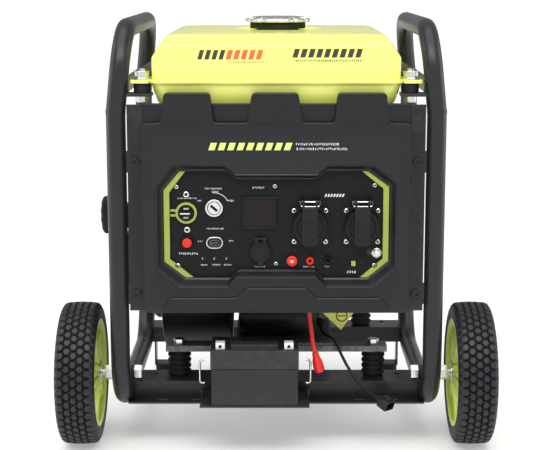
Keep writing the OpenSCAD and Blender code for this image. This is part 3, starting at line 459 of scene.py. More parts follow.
# The boot is a moulded sleeve, round at the lead and flattened at the terminal end.
BOOT_TILT = math.radians(14)
BOOT_DIRECTION = (math.sin(BOOT_TILT), 0, -math.cos(BOOT_TILT))
boot_rings = []
for along, wide, deep in (
    (0, 3.4, 3.4), (1, 4.3, 4.3), (6, 4.8, 4.6), (9, 6.2, 5.4), (12, 7.8, 6.4),
    (19, 8.4, 7.0), (25, 8.6, 7.2), (27, 7.8, 6.6),
):
    boot_rings.append(
        [(wide * math.cos(a), deep * math.sin(a), along)
            for a in (2 * math.pi * k / 28 for k in range(28))]
    )
red_boot = add(
    "red_boot_sleeve", *aimed(loft(boot_rings), RED_ROUTE[-1], BOOT_DIRECTION),
    "chassis", "red_rubber", replaces=("red_boot",),
)
PLUG_TILT, PLUG_TURN = math.radians(110), math.radians(45)
PLUG_DIRECTION = (
    math.sin(PLUG_TILT) * math.cos(PLUG_TURN), -math.sin(PLUG_TILT) * math.sin(PLUG_TURN),
    math.cos(PLUG_TILT),
)
neck = loft(
    [[(r * math.cos(a), r * math.sin(a), d) for a in (math.pi * k / 10 for k in range(20))]
        for d, r in ((0, 3.0), (0.6, 3.5), (2, 3.5), (2.4, 3.0), (3.4, 3.0), (3.8, 3.5), (5, 3.5),
            (5.4, 3.1), (8, 3.3))]
)
shell = loft(
    [[(x, y, d) for x, y in rounded(w, h, r)]
        for d, w, h, r in ((7, 13, 10, 3), (8, 17.4, 13.4, 2.6), (10, 18, 14, 2), (23, 18, 14, 2),
            (24, 17.2, 13.2, 2), (24, 14.6, 10.6, 1.4), (19, 14.2, 10.2, 1.4))]
)
latch = loft([[(x, y + 7.3, d) for x, y in rounded(w, 1.8, 0.6, 3)]
    for d, w in ((10, 5), (11, 6), (20, 6), (21, 5))])
charge_plug = add(
    "charge_plug_shell", *aimed(join([neck, shell, latch]), CHARGE_ROUTE[-1], PLUG_DIRECTION),
    "chassis", "cable_black", replaces=("charge_plug",),
)
lead("red_lead_cord", RED_ROUTE, 2.75, "red_rubber", "red_lead")
lead("charge_lead_cord", CHARGE_ROUTE, 2.0, "cable_black", "charge_lead")

# ---- wheels ----

AXLE = middle("tyre_right")
TYRE_R = (span("tyre_right")[1].z - span("tyre_right")[0].z) / 2
TYRE_IN, TYRE_OUT = span("tyre_right")[0].x, span("tyre_right")[1].x
RIM_R = 70.0
# tread: blocks round the tyre, sections drawn for each, rows across it, and groove depth
PITCHES = 50
PER_PITCH = 10

COLUMNS = 5
GROOVE = 4.0
# rim: spokes, the round hand holes between them, and half the angle between paired ribs
SPOKES = 5
HAND_HOLE_AT, HAND_HOLE_R = 42.0, 12.0
RIB_SPREAD = 0.16


def tread_depth(u, v, half_width, pitch):
    """How deep a groove is at u pitches round and v from -1 to 1 across: the tread is
    staggered rows of six-sided blocks."""
    wide = 2 * half_width / COLUMNS
    across = (v + 1) * half_width / wide
    near = []
    for column in (math.floor(across) - 1, math.floor(across), math.floor(across) + 1):
        shift = 0.5 * (column % 2)
        for row in (math.floor(u - shift), math.floor(u - shift) + 1):
            near.append(math.hypot((across - column - 0.5) * wide * 1.12,
                (u - row - shift) * pitch))
    near.sort()
    t = min(1.0, max(0.0, ((near[1] - near[0]) / 2 - 0.75) / 0.9))
    return 1 - t * t * (3 - 2 * t)


def tyre_section():
    """Half section as (across -1..1, radius, distance from the middle plane, tread share)."""
    half = (TYRE_OUT - TYRE_IN) / 2
    points = [
        (-1.0, RIM_R - 1.5, -half + 9.0, 0), (-1.0, RIM_R + 0.5, -half + 6.5, 0),
        (-1.0, RIM_R + 3, -half + 4, 0), (-1.0, RIM_R + 4.2, -half + 2.2, 0),
        (-1.0, RIM_R + 6, -half + 1.6, 0), (-1.0, RIM_R + 8, -half + 0.5, 0),
        (-1.0, RIM_R + 10.5, -half, 0), (-1.0, RIM_R + 13, -half + 0.2, 0),
    ]
    shoulder = [(1.20, TYRE_R - 13.0, 0.8), (1.12, TYRE_R - 10, 0.9), (1.05, TYRE_R - 7, 1.6),
        (0.98, TYRE_R - 4.2, 3.0), (0.92, TYRE_R - 2.2, 4.8)]
    points += [(-v, r, -half + d, 1) for v, r, d in shoulder]
    steps = 30
    for i in range(steps + 1):
        v = -0.86 + 1.72 * i / steps
        points.append((v, TYRE_R - 0.2 - 1.5 * v * v, v * (half - 6) / 0.86 * 0.93, 1))
    points += [(v, r, half - d, 1) for v, r, d in reversed(shoulder)]
    points += [(1.0, r, -d, 0) for _, r, d, _ in reversed(points[:8])]
    return points


def tyre(name, mirror, body, node):
    around = PITCHES * PER_PITCH
    half = (TYRE_OUT - TYRE_IN) / 2
    pitch = 2 * math.pi * TYRE_R / PITCHES
    section = tyre_section()
    rings = []
    for k in range(around):
        a = 2 * math.pi * k / around
        u = PITCHES * k / around
        ring = []
        for v, r, d, share in section:
            if share:
                r -= GROOVE * tread_depth(u, v, half, pitch) * (1 if abs(v) < 0.95 else 0.55)
            ring.append((
                mirror * (AXLE.x + d), AXLE.y + r * math.cos(a), AXLE.z + r * math.sin(a)
            ))
        rings.append(ring)
    add(name, *loft(rings, looped=True), body, "tyre", replaces=(node,), angle=50)


def rim(name, mirror, body, node):
    """Barrel, dished web with five hand holes between ribs, and the hub."""
    barrel = lathe(
        [(RIM_R + 2.5, 5.5), (RIM_R + 3.6, 1.6), (RIM_R - 0.5, 1.2), (RIM_R - 4, 3.0),
            (RIM_R - 6, 12.0), (RIM_R - 6.5, 40.0), (RIM_R - 4, 45.5), (RIM_R - 1, 46.6),
            (RIM_R + 3, 46.2), (RIM_R + 2.5, 44.5), (RIM_R - 0.5, 43.0), (RIM_R - 0.5, 9.0)],
        (TYRE_IN, AXLE.y, AXLE.z), "x", 96, looped=True,
    )
    hub_lo, hub_hi = span("rim_right")
    hub = lathe(
        [(6.2, hub_lo.x + 5.2), (14, hub_lo.x + 5.2), (15.5, hub_lo.x + 6.4), (17, TYRE_IN + 10),
            (19.5, TYRE_IN + 16), (20, TYRE_IN + 24), (20, hub_hi.x - 10), (18, hub_hi.x - 2),
            (16, hub_hi.x - 0.4), (6.2, hub_hi.x - 0.4)],
        (0, AXLE.y, AXLE.z), "x", 64, looped=True,
    )
    inner, outer = 18.0, RIM_R - 5.5
    web = web_with_holes(16.0, outer, HAND_HOLE_AT, HAND_HOLE_R, SPOKES, TYRE_IN)
    parts = [barrel, hub, web]
    base = Vector((0, AXLE.y, AXLE.z))
    for s in range(SPOKES):
        a = math.radians(360 / SPOKES * (s + 0.5))
        for side in (-1, 1):
            b = a + side * RIB_SPREAD
            u = Vector((0, math.cos(b), math.sin(b)))
            t = Vector((0, -math.sin(b), math.cos(b)))
            rib = []
            for r, low in ((inner, 1.5), ((inner + outer) / 2, 3.5), (outer, 5.0)):
                rib.append([
                    tuple(base + u * r + t * w + Vector((TYRE_IN + d, 0, 0)))
                    for w, d in ((-1.6, low), (1.6, low), (2.0, 21), (-2.0, 21))
                ])
            parts.append(loft(rib))
    verts, faces = join(parts)
    verts = [(mirror * x, y, z) for x, y, z in verts]
    add(name, verts, faces, body, "lime_plastic", replaces=(node,), angle=30)


def web_with_holes(r0, r1, hole_at, hole_r, count, x0):
    """Dished web between two radii with round holes: each sector is a grid that bends
    round its hole."""
    verts, faces = [], []
    around, out = 24, 5

    def depth(r):
        t = (r - r0) / (r1 - r0)
        return 9.0 + 3.3 * math.sin(math.pi * t) + 4.5 * t

    def sector_edge(s, k):
        """Point k of around on the sector's border, as (radius, angle)."""
        half = math.pi / count
        t = k / around * 4
        side, f = int(t) % 4, t - int(t)
        corners = [(r0, -half), (r0, half), (r1, half), (r1, -half)]
        (ra, aa), (rb, ab) = corners[side], corners[(side + 1) % 4]
        return ra + (rb - ra) * f, aa + (ab - aa) * f

    for s in range(count):
        centre = 2 * math.pi * s / count
        for layer in (0, 9.0):
            start = len(verts)
            for j in range(out + 1):
                for k in range(around):
                    r, a = sector_edge(s, k)
                    border = (r * math.cos(a), r * math.sin(a))
                    d = (border[0] - hole_at, border[1])
                    n = math.hypot(*d)
                    hole = (hole_at + d[0] / n * hole_r, d[1] / n * hole_r)
                    f = j / out
                    y = hole[0] + (border[0] - hole[0]) * f
                    z = hole[1] + (border[1] - hole[1]) * f
                    radius = math.hypot(y, z)
                    angle = math.atan2(z, y) + centre
                    verts.append((
                        x0 + depth(radius) + layer, AXLE.y + radius * math.cos(angle),
                        AXLE.z + radius * math.sin(angle),
                    ))
            for j in range(out):
                for k in range(around):
                    a, b = start + j * around + k, start + j * around + (k + 1) % around
                    face = [a, b, b + around, a + around]
                    faces.append(face if layer else face[::-1])
            if layer:
                below = start - (out + 1) * around
                for k in range(around):
                    faces.append([below + k, start + k, start + (k + 1) % around,
                        below + (k + 1) % around])
    return verts, faces


def spacer(name, mirror, body):
    """Plated sleeve with a flange, between the hub and the frame."""
    start = span("rim_right")[0].x
    verts, faces = lathe(
        [(6.3, start + 0.3), (8.8, start + 0.3), (9.2, start + 0.8), (9.2, start + 3.2),
            (12.4, start + 3.4), (12.8, start + 3.9), (12.8, start + 5.2), (12.4, start + 5.7),
            (6.3, start + 5.7)],
        (0, AXLE.y, AXLE.z), "x", 48, looped=True,
    )
    add(name, [(mirror * x, y, z) for x, y, z in verts], faces, body, "zinc")


for side_name, sign in (("right", 1), ("left", -1)):
    spacer(f"spacer_{side_name}", sign, f"wheel_{side_name}")
    tyre(f"tyre_{side_name}_tread", sign, f"wheel_{side_name}", f"tyre_{side_name}")
    rim(f"rim_{side_name}_dish", sign, f"wheel_{side_name}", f"rim_{side_name}")

# ---- tank ----

SEAM = span("tank_upper")[0].z
TANK_TOP = span("cap_seal")[0].z - 0.5
TANK_HALF = 160.0
TANK_BACK = 375.0
NECK = middle("fuel_cap")
NECK_IN, NECK_OUT = 24.0, 27.0
TANK_CORNER = 12.0


def tank_ring(z, inset_x, inset_y, corner, steps=7, straight=10):
    """Rounded rectangle at height z, with points along its straights as well."""
    half_x, half_y = TANK_HALF - inset_x, TANK_BACK / 2 - inset_y
    ring = []
    for i, (sx, sy) in enumerate(((1, 1), (-1, 1), (-1, -1), (1, -1))):
        centre = (sx * (half_x - corner), sy * (half_y - corner))
        for k in range(steps + 1):
            a = math.pi / 2 * (i + k / steps)
            ring.append((centre[0] + corner * math.cos(a), centre[1] + corner * math.sin(a)))
        nx, ny = ((-1, 1), (-1, -1), (1, -1), (1, 1))[i]
        end = (nx * (half_x - corner), ny * (half_y - corner))
        a = math.pi / 2 * (i + 1)
        first = ring[-1]
        last = (end[0] + corner * math.cos(a), end[1] + corner * math.sin(a))
        for k in range(1, straight):
            f = k / straight
            ring.append((first[0] + (last[0] - first[0]) * f, first[1] + (last[1] - first[1]) * f))
    return [(x, y + TANK_BACK / 2, z) for x, y in ring]


def toward_neck(ring, radius, z, share=1.0):
    """The ring's points drawn towards a circle about the filler neck."""
    drawn = []
    for x, y, z0 in ring:
        a = math.atan2(y - NECK.y, x - NECK.x)
        cx, cy = NECK.x + radius * math.cos(a), NECK.y + radius * math.sin(a)
        drawn.append((x + (cx - x) * share, y + (cy - y) * share, z0 + (z - z0) * share))
    return drawn


def smooth_profile(points, steps):
    """Catmull-Rom curve through rows of numbers."""
    rows = []
    for i in range(len(points) - 1):
        p0, p1 = points[max(i - 1, 0)], points[i]
        p2, p3 = points[i + 1], points[min(i + 2, len(points) - 1)]
        for k in range(steps):
            t = k / steps
            rows.append(tuple(
                0.5 * (2 * b + (c - a) * t + (2 * a - 5 * b + 4 * c - d) * t * t
                    + (3 * b - a - 3 * c + d) * t ** 3)
                for a, b, c, d in zip(p0, p1, p2, p3)
            ))
    rows.append(points[-1])
    return rows


# height, inset at the sides, inset at front and back, corner radius
UPPER = [
    (SEAM + 2.0, 0.8, 0.6, 10), (SEAM + 5, 0.2, 0.2, 10), (SEAM + 28, 0.0, 0.2, 10),
    (SEAM + 30, 0.3, 0.2, 10), (SEAM + 32, 1.3, 0.3, 10.5), (SEAM + 44.5, 9.6, 0.4, 11.5),
    (SEAM + 46, 10.6, 0.9, 12), (SEAM + 47.3, 11.5, 2.6, 12.5), (SEAM + 48.3, 12.2, 5.4, 13),
    (SEAM + 55.6, 16.6, 25.2, 16), (SEAM + 57.0, 18.0, 29.0, 18), (SEAM + 58.0, 20.4, 33.0, 20),
    (SEAM + 58.7, 25.0, 38.0, 22), (SEAM + 59.2, 50.0, 56.0, 24),
]


def tank_upper():
    rings = [tank_ring(*row) for row in UPPER]
    top = rings[-1]
    for share in (0.12, 0.25, 0.4, 0.52):
        rings.append(toward_neck(top, 62, TANK_TOP + 0.6 * share, share))
    for radius, z in ((66, 0.5), (64.5, 0.4), (63.6, -0.6), (62, -1.6), (50, -2.4), (36, -2.0),
            (30, -1.2), (27.8, 0.0), (NECK_OUT, 1.0), (NECK_OUT, 5.2), (26.4, 5.9),
            (24.7, 5.9), (NECK_IN, 5.2), (NECK_IN, -11.6), (NECK_IN + 3, -11.9)):
        rings.append(toward_neck(top, radius, TANK_TOP + z))
    shell = loft(rings, caps=False)
    flange = []
    for grow, z in ((6.0, 0.2), (6.4, 1.0), (6.0, 1.9), (2.0, 2.3), (0.6, 2.9), (0.4, 4.6)):
        flange.append(tank_ring(SEAM + z, -grow, -min(grow, 5.0), TANK_CORNER + 4))
    flange.append(tank_ring(SEAM + 3.0, 3.0, 3.0, TANK_CORNER))
    flange.append(tank_ring(SEAM + 0.2, 3.0, 3.0, TANK_CORNER))
    parts = [shell, loft(flange, looped=True)]
    for x in (-1, 1):
        for y in TANK_EARS:
            parts.append(ear(x, y, SEAM + 0.1, SEAM + 2.0))
    shell = add("tank_upper_shell", *join(parts), "chassis", "tank_paint",
        replaces=("tank_upper",), angle=40)
    even = shell.modifiers.new("even", "WEIGHTED_NORMAL")
    even.keep_sharp = True


TANK_EARS = [8.0, TANK_BACK + 2.0]


def ear(side, y, z0, z1):
    """Lug with a bolt hole, standing out from the flange."""
    x0, x1 = TANK_HALF + 3, span("tank_upper")[1].x
    outline = [(x0, y - 13), (x1 - 5, y - 13)] + [
        (x1 - 5 + 5 * math.cos(a), y - 8 + 5 * math.sin(a))
        for a in (math.radians(d) for d in range(-75, 1, 15))
    ] + [(x1 - 5 + 5 * math.cos(a), y + 8 + 5 * math.sin(a))
        for a in (math.radians(d) for d in range(0, 91, 15))] + [(x0, y + 13)]
    return loft([[(side * x, v, z) for x, v in outline] for z in (z0, z1)])


LOWER = [
    (SEAM - 0.1, -5.8, -5.0, TANK_CORNER + 4), (SEAM - 1.9, -5.8, -5.0, TANK_CORNER + 4),
    (SEAM - 2.1, 0.2, 0.2, TANK_CORNER), (SEAM - 6, 0.4, 0.3, TANK_CORNER),
    (SEAM - 10, 1.4, 1.0, TANK_CORNER + 1), (SEAM - 26, 6.0, 6.2, TANK_CORNER + 3),
    (SEAM - 42, 12.0, 12.5, TANK_CORNER + 6), (SEAM - 52, 13.8, 16.0, TANK_CORNER + 8),
    (SEAM - 56, 17.0, 20.5, TANK_CORNER + 9), (SEAM - 56.8, 26.0, 30.0, TANK_CORNER + 9),
]


def tank_lower():
    rings = [tank_ring(*row) for row in LOWER]
    rings = rings[:4] + [tank_ring(*row) for row in smooth_profile(LOWER[3:], 3)][1:]
    rings = [tank_ring(SEAM - 0.1, 4, 4, TANK_CORNER)] + rings
    parts = [loft(rings)]
    for x in (-1, 1):
        for y in TANK_EARS:
            parts.append(ear(x, y, SEAM - 2.0, SEAM - 0.1))
    # the lower half takes the darkened copy of the tank's lime: painted shade
    add("tank_lower_shell", *join(parts), "chassis", "tank_shade",
        replaces=("tank_lower",), angle=40)


def fuel_cap():
    """Pressed cap with finger flutes round its rim, and its plug."""
    lo, hi = span("fuel_cap")
    big = (hi.x - lo.x) / 2
    rim_low = span("cap_seal")[1].z + 0.3
    flutes, turns = 12, 144
    rings = []
    for r, z, bite in (
        (23.2, lo.z + 0.3, 0), (23.4, lo.z + 1.2, 0), (23.4, rim_low, 0),
        (40.5, rim_low + 0.1, 0.3), (big - 1.6, rim_low + 0.2, 1), (big - 0.4, rim_low + 1.0, 1),
        (big - 0.1, rim_low + 2.4, 1),
        (big - 0.6, rim_low + 4.2, 1), (big - 2.6, rim_low + 5.4, 0.9),
        (big - 5.6, rim_low + 6.0, 0.5),
        (big - 8.2, rim_low + 6.3, 0.1), (36.0, rim_low + 7.4, 0), (33.0, hi.z - 0.15, 0),
        (30.5, hi.z - 0.2, 0), (29.0, hi.z - 1.4, 0), (12.0, hi.z - 1.8, 0), (10.5, hi.z - 0.9, 0),
        (3.0, hi.z - 0.7, 0),
    ):
        ring = []
        for k in range(turns):
            a = 2 * math.pi * k / turns
            dip = 0.5 * (1 + math.cos(flutes * a))
            cut = 2.6 * bite * dip ** 2
            ring.append((NECK.x + (r - cut) * math.cos(a), NECK.y + (r - cut) * math.sin(a), z))
        rings.append(ring)
    # and paired grip ridges between the flutes
    parts = [loft(rings)]
    for k in range(flutes * 3):
        a = 2 * math.pi * (k + 0.5) / (flutes * 3)
        if k % 3 == 1:
            continue
        u, t = Vector((math.cos(a), math.sin(a), 0)), Vector((-math.sin(a), math.cos(a), 0))
        c = Vector((NECK.x, NECK.y, 0))
        ridge = []
        for r, z in ((big - 3.2, rim_low + 5.0), (big - 5.6, rim_low + 6.6),
                (37.4, rim_low + 7.3)):
            ridge.append([tuple(c + u * r + t * w + Vector((0, 0, z + h)))
                for w, h in ((-1.4, -0.8), (1.4, -0.8), (0.9, 0.35), (-0.9, 0.35))])
        parts.append(loft(ridge))
    add("fuel_cap_pressed", *join(parts), "cap", "cap_metal", replaces=("fuel_cap",), angle=50)


tank_upper()
tank_lower()
fuel_cap()

# ---- fascia ----


def round_corners(outline, radius, steps=4):
    """The outline with each corner as an arc of that radius, or as much as fits."""
    points = []
    count = len(outline)
    for i, corner in enumerate(outline):
        here = Vector(corner[:2])
        before, after = Vector(outline[i - 1][:2]), Vector(outline[(i + 1) % count][:2])
        r = corner[2] if len(corner) > 2 else radius
        a, b = (before - here).normalized(), (after - here).normalized()
        turn = math.acos(max(-1, min(1, a.dot(b)))) / 2
        if turn > math.radians(88):
            points.append(tuple(here))
            continue
        reach = min(r / math.tan(turn), 0.45 * (before - here).length,
            0.45 * (after - here).length)
        start, end = here + a * reach, here + b * reach
        for k in range(steps + 1):
            t = k / steps
            points.append(tuple((1 - t) ** 2 * start + 2 * t * (1 - t) * here + t * t * end))
    return points


def plate(outlines, y0, y1, edge, resolution=2):
    """A flat piece from y0 back to y1 with rounded edges. The first outline, in x and z, is
    its border and the others are holes."""
    curve = bpy.data.curves.new("plate", "CURVE")
    curve.dimensions = "2D"
    curve.fill_mode = "BOTH"
    curve.bevel_depth = edge
    curve.bevel_resolution = resolution
    curve.extrude = (y1 - y0) / 2 - edge
    curve.offset = -edge
    for outline in outlines:
        spline = curve.splines.new("POLY")
        spline.points.add(len(outline) - 1)
        for point, (x, z) in zip(spline.points, outline):
            point.co = (x, z, 0, 1)
        spline.use_cyclic_u = True
    holder = put("plate", curve)
    mesh = bpy.data.meshes.new_from_object(holder)
    weld = bmesh.new()
    weld.from_mesh(mesh)
    bmesh.ops.remove_doubles(weld, verts=weld.verts, dist=0.001)
    weld.verts.index_update()
    middle_y = (y0 + y1) / 2
    verts = [(v.co.x, middle_y - v.co.z, v.co.y) for v in weld.verts]
    faces = [[v.index for v in f.verts] for f in weld.faces]
    weld.free()
    bpy.data.objects.remove(holder)
    bpy.data.curves.remove(curve)
    bpy.data.meshes.remove(mesh)
    return verts, faces


FASCIA = span("fascia")
FASCIA_HALF = FASCIA[1].x
LOW = FASCIA[0].z
NOTCH_LOW, NOTCH_HIGH = 448.0, 472.0
TEETH = [(-143, -84, 4, 4), (-31, 28, 6, 6), (78, 140, 4, 4)]
PANEL_HALF, PANEL_LOW, PANEL_HIGH, STEP = 146.0, 245.0, 385.0, 11.0
OPENING = [
    (-PANEL_HALF + 21, PANEL_HIGH), (-64, PANEL_HIGH), (-50, PANEL_HIGH - STEP),
    (50, PANEL_HIGH - STEP), (64, PANEL_HIGH), (PANEL_HALF - 28, PANEL_HIGH),
    (PANEL_HALF, PANEL_HIGH - 20), (PANEL_HALF, PANEL_LOW + 22), (PANEL_HALF - 27, PANEL_LOW),
    (61, PANEL_LOW), (49, PANEL_LOW + STEP), (-49, PANEL_LOW + STEP), (-60, PANEL_LOW),
    (-PANEL_HALF + 28, PANEL_LOW), (-PANEL_HALF, PANEL_LOW + 21), (-PANEL_HALF, PANEL_HIGH - 25),
]
OPENING_MID = (PANEL_HIGH + PANEL_LOW) / 2


def flared(outline, wide, high):
    return [(x * wide, OPENING_MID + (z - OPENING_MID) * high) for x, z in outline]


def fascia():
    border = [(-FASCIA_HALF, LOW, 6), (-FASCIA_HALF, NOTCH_LOW - 1, 3)]
    for x0, x1, lean0, lean1 in TEETH:
        border += [(x0 - lean0, NOTCH_LOW, 5), (x0, FASCIA[1].z, 6),
            (x1, FASCIA[1].z, 6), (x1 + lean1, NOTCH_LOW, 5)]
    border += [(FASCIA_HALF, NOTCH_LOW - 1, 3), (FASCIA_HALF, LOW, 6)]
    mouth = round_corners(flared(OPENING, 1.065, 1.14), 4)
    parts = [plate([round_corners(border, 4), mouth], FASCIA_Y, PANEL_Y - 0.2, 1.5, 3)]
    back = [(-FASCIA_HALF, NOTCH_LOW - 14), (-FASCIA_HALF, NOTCH_HIGH), (FASCIA_HALF, NOTCH_HIGH),
        (FASCIA_HALF, NOTCH_LOW - 14)]
    parts.append(plate([round_corners(back, 2)], FASCIA_Y + 10, PANEL_Y - 0.4, 1.4, 3))
    # sloped lip that runs from the mouth down into the control panel's well
    lip = []
    for wide, high, y in (
        (1.075, 1.16, FASCIA_Y + 1.6), (1.058, 1.125, FASCIA_Y + 0.5),
        (1.050, 1.110, FASCIA_Y + 0.5),
        (1.018, 1.040, FASCIA_Y + 8.0), (1.006, 1.014, FASCIA_Y + 8.6), (1.0, 1.0, FASCIA_Y + 9.6),
        (1.0, 1.0, PANEL_Y - 0.1), (1.075, 1.16, PANEL_Y - 0.1),
    ):
        outline = round_corners(flared(OPENING, wide, high), 4)
        lip.append([(x, y, z) for x, z in outline])
    parts.append(loft(lip, looped=True))
    # bumper: a raised band under the panel, sloped at its upper edge
    bumper = [(-149, LOW + 4, 2), (-141, LOW + 16, 5), (-134, LOW + 21, 4), (-52, LOW + 21, 4),
        (-38, LOW + 34, 4), (38, LOW + 34, 4), (52, LOW + 21, 4), (134, LOW + 21, 4),
        (141, LOW + 16, 5), (149, LOW + 4, 2)]
    parts.append(plate([round_corners(bumper, 3)], FASCIA_Y - 3.9, FASCIA_Y + 2.5, 2.2, 3))
    for side in (-1, 1):
        x = side * (FASCIA_HALF - 1.5)
        parts.append(block((x - 1.5, PANEL_Y - 2, LOW + 6), (x + 1.5, FASCIA[1].y, 470)))
    parts.append(block((-FASCIA_HALF + 3, PANEL_Y - 2, LOW + 6), (FASCIA_HALF - 3, 12, LOW + 9)))
    parts.append(block((35, 11, LOW + 6), (53, 32, LOW + 9)))
    add("fascia_shell", *join(parts), "chassis", "fascia_plastic", replaces=("fascia",), angle=28)


fascia()

# ---- printing on the fascia and panel: generic dashes and rules, no words, and painted glints (small white arrows) on the indicator lamps ----


def dashes(x, z, width, height, count, y, lean=0.0, fill=0.62):
    """A row of small printed marks centred on x and z."""
    parts = []
    step = width / count
    for i in range(count):
        left = x - width / 2 + i * step
        right = left + step * fill
        low, high, shift = z - height / 2, z + height / 2, lean * height / 2
        parts.append(slab([(left - shift, low), (right - shift, low), (right + shift, high),
            (left + shift, high)], y - 0.12, y + 0.05))
    return join(parts)


def scribble(x, z, width, height, y, seed):
    """A line of tiny print: uneven marks that read as lettering from afar."""
    rng = random.Random(seed)
    parts = []
    left = x - width / 2
    while left < x + width / 2 - 0.5:
        w = rng.uniform(0.7, 1.5) * height * 0.5
        low = z - height / 2 + rng.choice((0, 0, 0.25)) * height
        high = z + height / 2 - rng.choice((0, 0, 0.2)) * height
        parts.append(slab(rect(left, low, left + w * 0.6, high), y - 0.1, y + 0.05))
        if rng.random() < 0.7:
            bar = rng.choice((low, high - height * 0.22, (low + high) / 2))
            parts.append(slab(rect(left, bar, left + w, bar + height * 0.22), y - 0.1, y + 0.05))
        left += w + height * 0.28
    return join(parts)


def add_flat_marks(name, parts, material, slot="panel_face"):
    add(name, *join(parts), "chassis", slot, material)


# centre x, centre z, width and height of each line of small print on the panel
PANEL_PRINT = [
    (-81, 361.5, 23, 2.3), (-79, 357.6, 9, 1.9), (-59, 345.7, 10, 2.2), (-99, 345.7, 6.5, 2.0),
    (-115.5, 348.9, 24, 1.8), (-98.6, 292.3, 5.5, 2.0), (-58.0, 292.8, 7, 2.0),
    (-79.5, 309.0, 22, 2.1), (-114, 276.0, 25, 3.0), (-93.5, 260.8, 9.5, 2.2),
    (-78.0, 261.2, 11, 2.0), (-63.0, 261.2, 10, 2.0), (-22.5, 362.8, 16, 2.8),
    (-21.5, 258.6, 14, 1.9), (43.0, 258.6, 15, 2.2), (98.2, 251.8, 12, 3.6), (66, 258.8, 6, 1.6),
]
marks = [scribble(x, z, w, h, PANEL_Y, 11 + i) for i, (x, z, w, h) in enumerate(PANEL_PRINT)]
marks.append(dashes(76, 352.6, 26, 3.8, 7, PANEL_Y, 0.4, 0.58))
# an arc over the key switch, from 28 to 96 degrees
KEY_X, KEY_Z = -80.5, 336.5
sweep = []
for i in range(19):
    a = math.radians(28 + 68 * i / 18)
    x, z = KEY_X + 20.0 * math.cos(a), KEY_Z + 20.0 * math.sin(a)
    inner_x, inner_z = KEY_X + (x - KEY_X) * 0.965, KEY_Z + (z - KEY_Z) * 0.965
    sweep.append([
        (x, PANEL_Y - 0.12, z), (x, PANEL_Y + 0.05, z), (inner_x, PANEL_Y + 0.05, inner_z),
        (inner_x, PANEL_Y - 0.12, inner_z),
    ])
marks.append(loft(sweep))
# painted glints: a small white arrow on each indicator lamp, in front of its lens
for x, z in ((-95, 271), (-79.7, 271), (-64, 271)):
    marks.append(slab([(x - 1.7, z - 2.2), (x - 0.4, z - 2.2), (x - 1.3, z + 0.4)], PANEL_Y - 2.0,
        PANEL_Y - 1.7))
add_flat_marks("panel_print_and_lamp_glints", marks, white_marks)
add_flat_marks("fascia_print_lime", [dashes(-31, 418, 108, 9.5, 9, FASCIA_Y, 0.35, 0.66)], print_lime,
    "fascia_plastic")
add_flat_marks("fascia_print_white", [
    scribble(53, 421, 56, 3.2, FASCIA_Y, 5), scribble(58, 415, 64, 3.2, FASCIA_Y, 6),
], white_marks, "fascia_plastic")

# two generic marks on the tank's front, and a line of small print under each
add_flat_marks("tank_print_dark", [
    dashes(-81, 533, 36, 12, 4, 0.05, 0.3, 0.62), dashes(67, 535, 90, 11, 9, 0.05, 0.3, 0.66),
    scribble(67, 525.5, 88, 3.0, 0.05, 21), scribble(-35, 523.5, 40, 1.9, 0.05, 22),
], print_dark, "tank_paint")
add_flat_marks("tank_print_red", [dashes(-39, 533, 48, 12, 5, 0.05, 0.3, 0.66)], print_red, "tank_paint")

# ---- screws ----

AC = [(43.5, 312.8), (111.0, 312.8)]
PANEL_SCREWS = [(-129, 364), (-128, 260.5), (-1.7, 365), (-0.5, 262.5), (127, 366), (127.5, 261)]
CLAMP_SCREWS = [(-116.5, 354), (-115.7, 307.5)]
SOCKET_REACH = 20.4
SOCKET_SCREWS = [
    (x + i * SOCKET_REACH, z + j * SOCKET_REACH) for x, z in AC for i in (-1, 1) for j in (-1, 1)
]
BRACKET_SCREWS = [(side * 181.5, z) for side in (-1, 1) for z in (222, 396)]


def cross(x, y, z, reach, wide, turn):
    """A dark cross-shaped sheet on a screw recess's floor: painted shade."""
    outline = []
    for k in range(4):
        a = math.radians(90 * k + turn)
        u, v = (math.cos(a), math.sin(a)), (-math.sin(a), math.cos(a))
        outline += [(x + u[0] * along + v[0] * side * wide, z + u[1] * along + v[1] * side * wide)
            for along, side in ((wide, -1), (reach, -1), (reach, 1))]
    return slab(outline, y, y + 0.5)


heads, recess_shade = [], []
for spots, r, y in ((PANEL_SCREWS, 3.0, PANEL_Y), (CLAMP_SCREWS, 4.2, PANEL_Y),
        (SOCKET_SCREWS, 3.4, PANEL_Y - 2.5)):
    for i, (x, z) in enumerate(spots):
        heads.append(lathe([(1.8, y + 8), (1.8, y), (r, y), (r, y - 0.9), (r * 0.92, y - 1.5),
            (r * 0.70, y - 2.0), (r * 0.46, y - 2.2), (r * 0.40, y - 1.5),
            (0.1, y - 1.4)], (x, 0, z), "y", 32))
        # a dark disc and a dark cross in each head's recess: painted shade
        recess_shade.append(lathe([(r * 0.39, y - 1.4), (r * 0.39, y - 1.75), (0.1, y - 1.75)],
            (x, 0, z), "y", 20))
        recess_shade.append(cross(x, y - 2.15, z, r * 0.62, r * 0.11, 40 + 25 * i))
add("panel_screw_heads", *join(heads), "chassis", "zinc", replaces=("front_screws",), angle=40)
add("panel_screw_recess_shade", *join(recess_shade), "chassis", "black_plastic")
sockets = []
for x, z in BRACKET_SCREWS:
    sockets.append(lathe([(2.5, 4), (2.5, -6), (6.6, -6), (6.6, -6.9), (5.5, -7.0), (5.5, -8.4),
        (4.9, -9.0), (3.1, -9.0), (2.7, -8.6), (2.6, -6.8), (0.1, -6.8)],
        (x, 0, z), "y", 36))
add("bracket_screw_heads", *join(sockets), "chassis", "zinc", finishes["bracket_paint"], angle=40)

# ---- controls ----

HINGE = Vector((0, -17.0, 346.0))
KNOB = middle("selector_knob")
BUTTON = middle("start_button")
BREAKER = middle("breaker_button")
ROCKER = middle("eco_rocker")
GROUND = middle("ground_terminal")
PARALLEL = [(43.8, 267.0), (67.2, 268.0)]


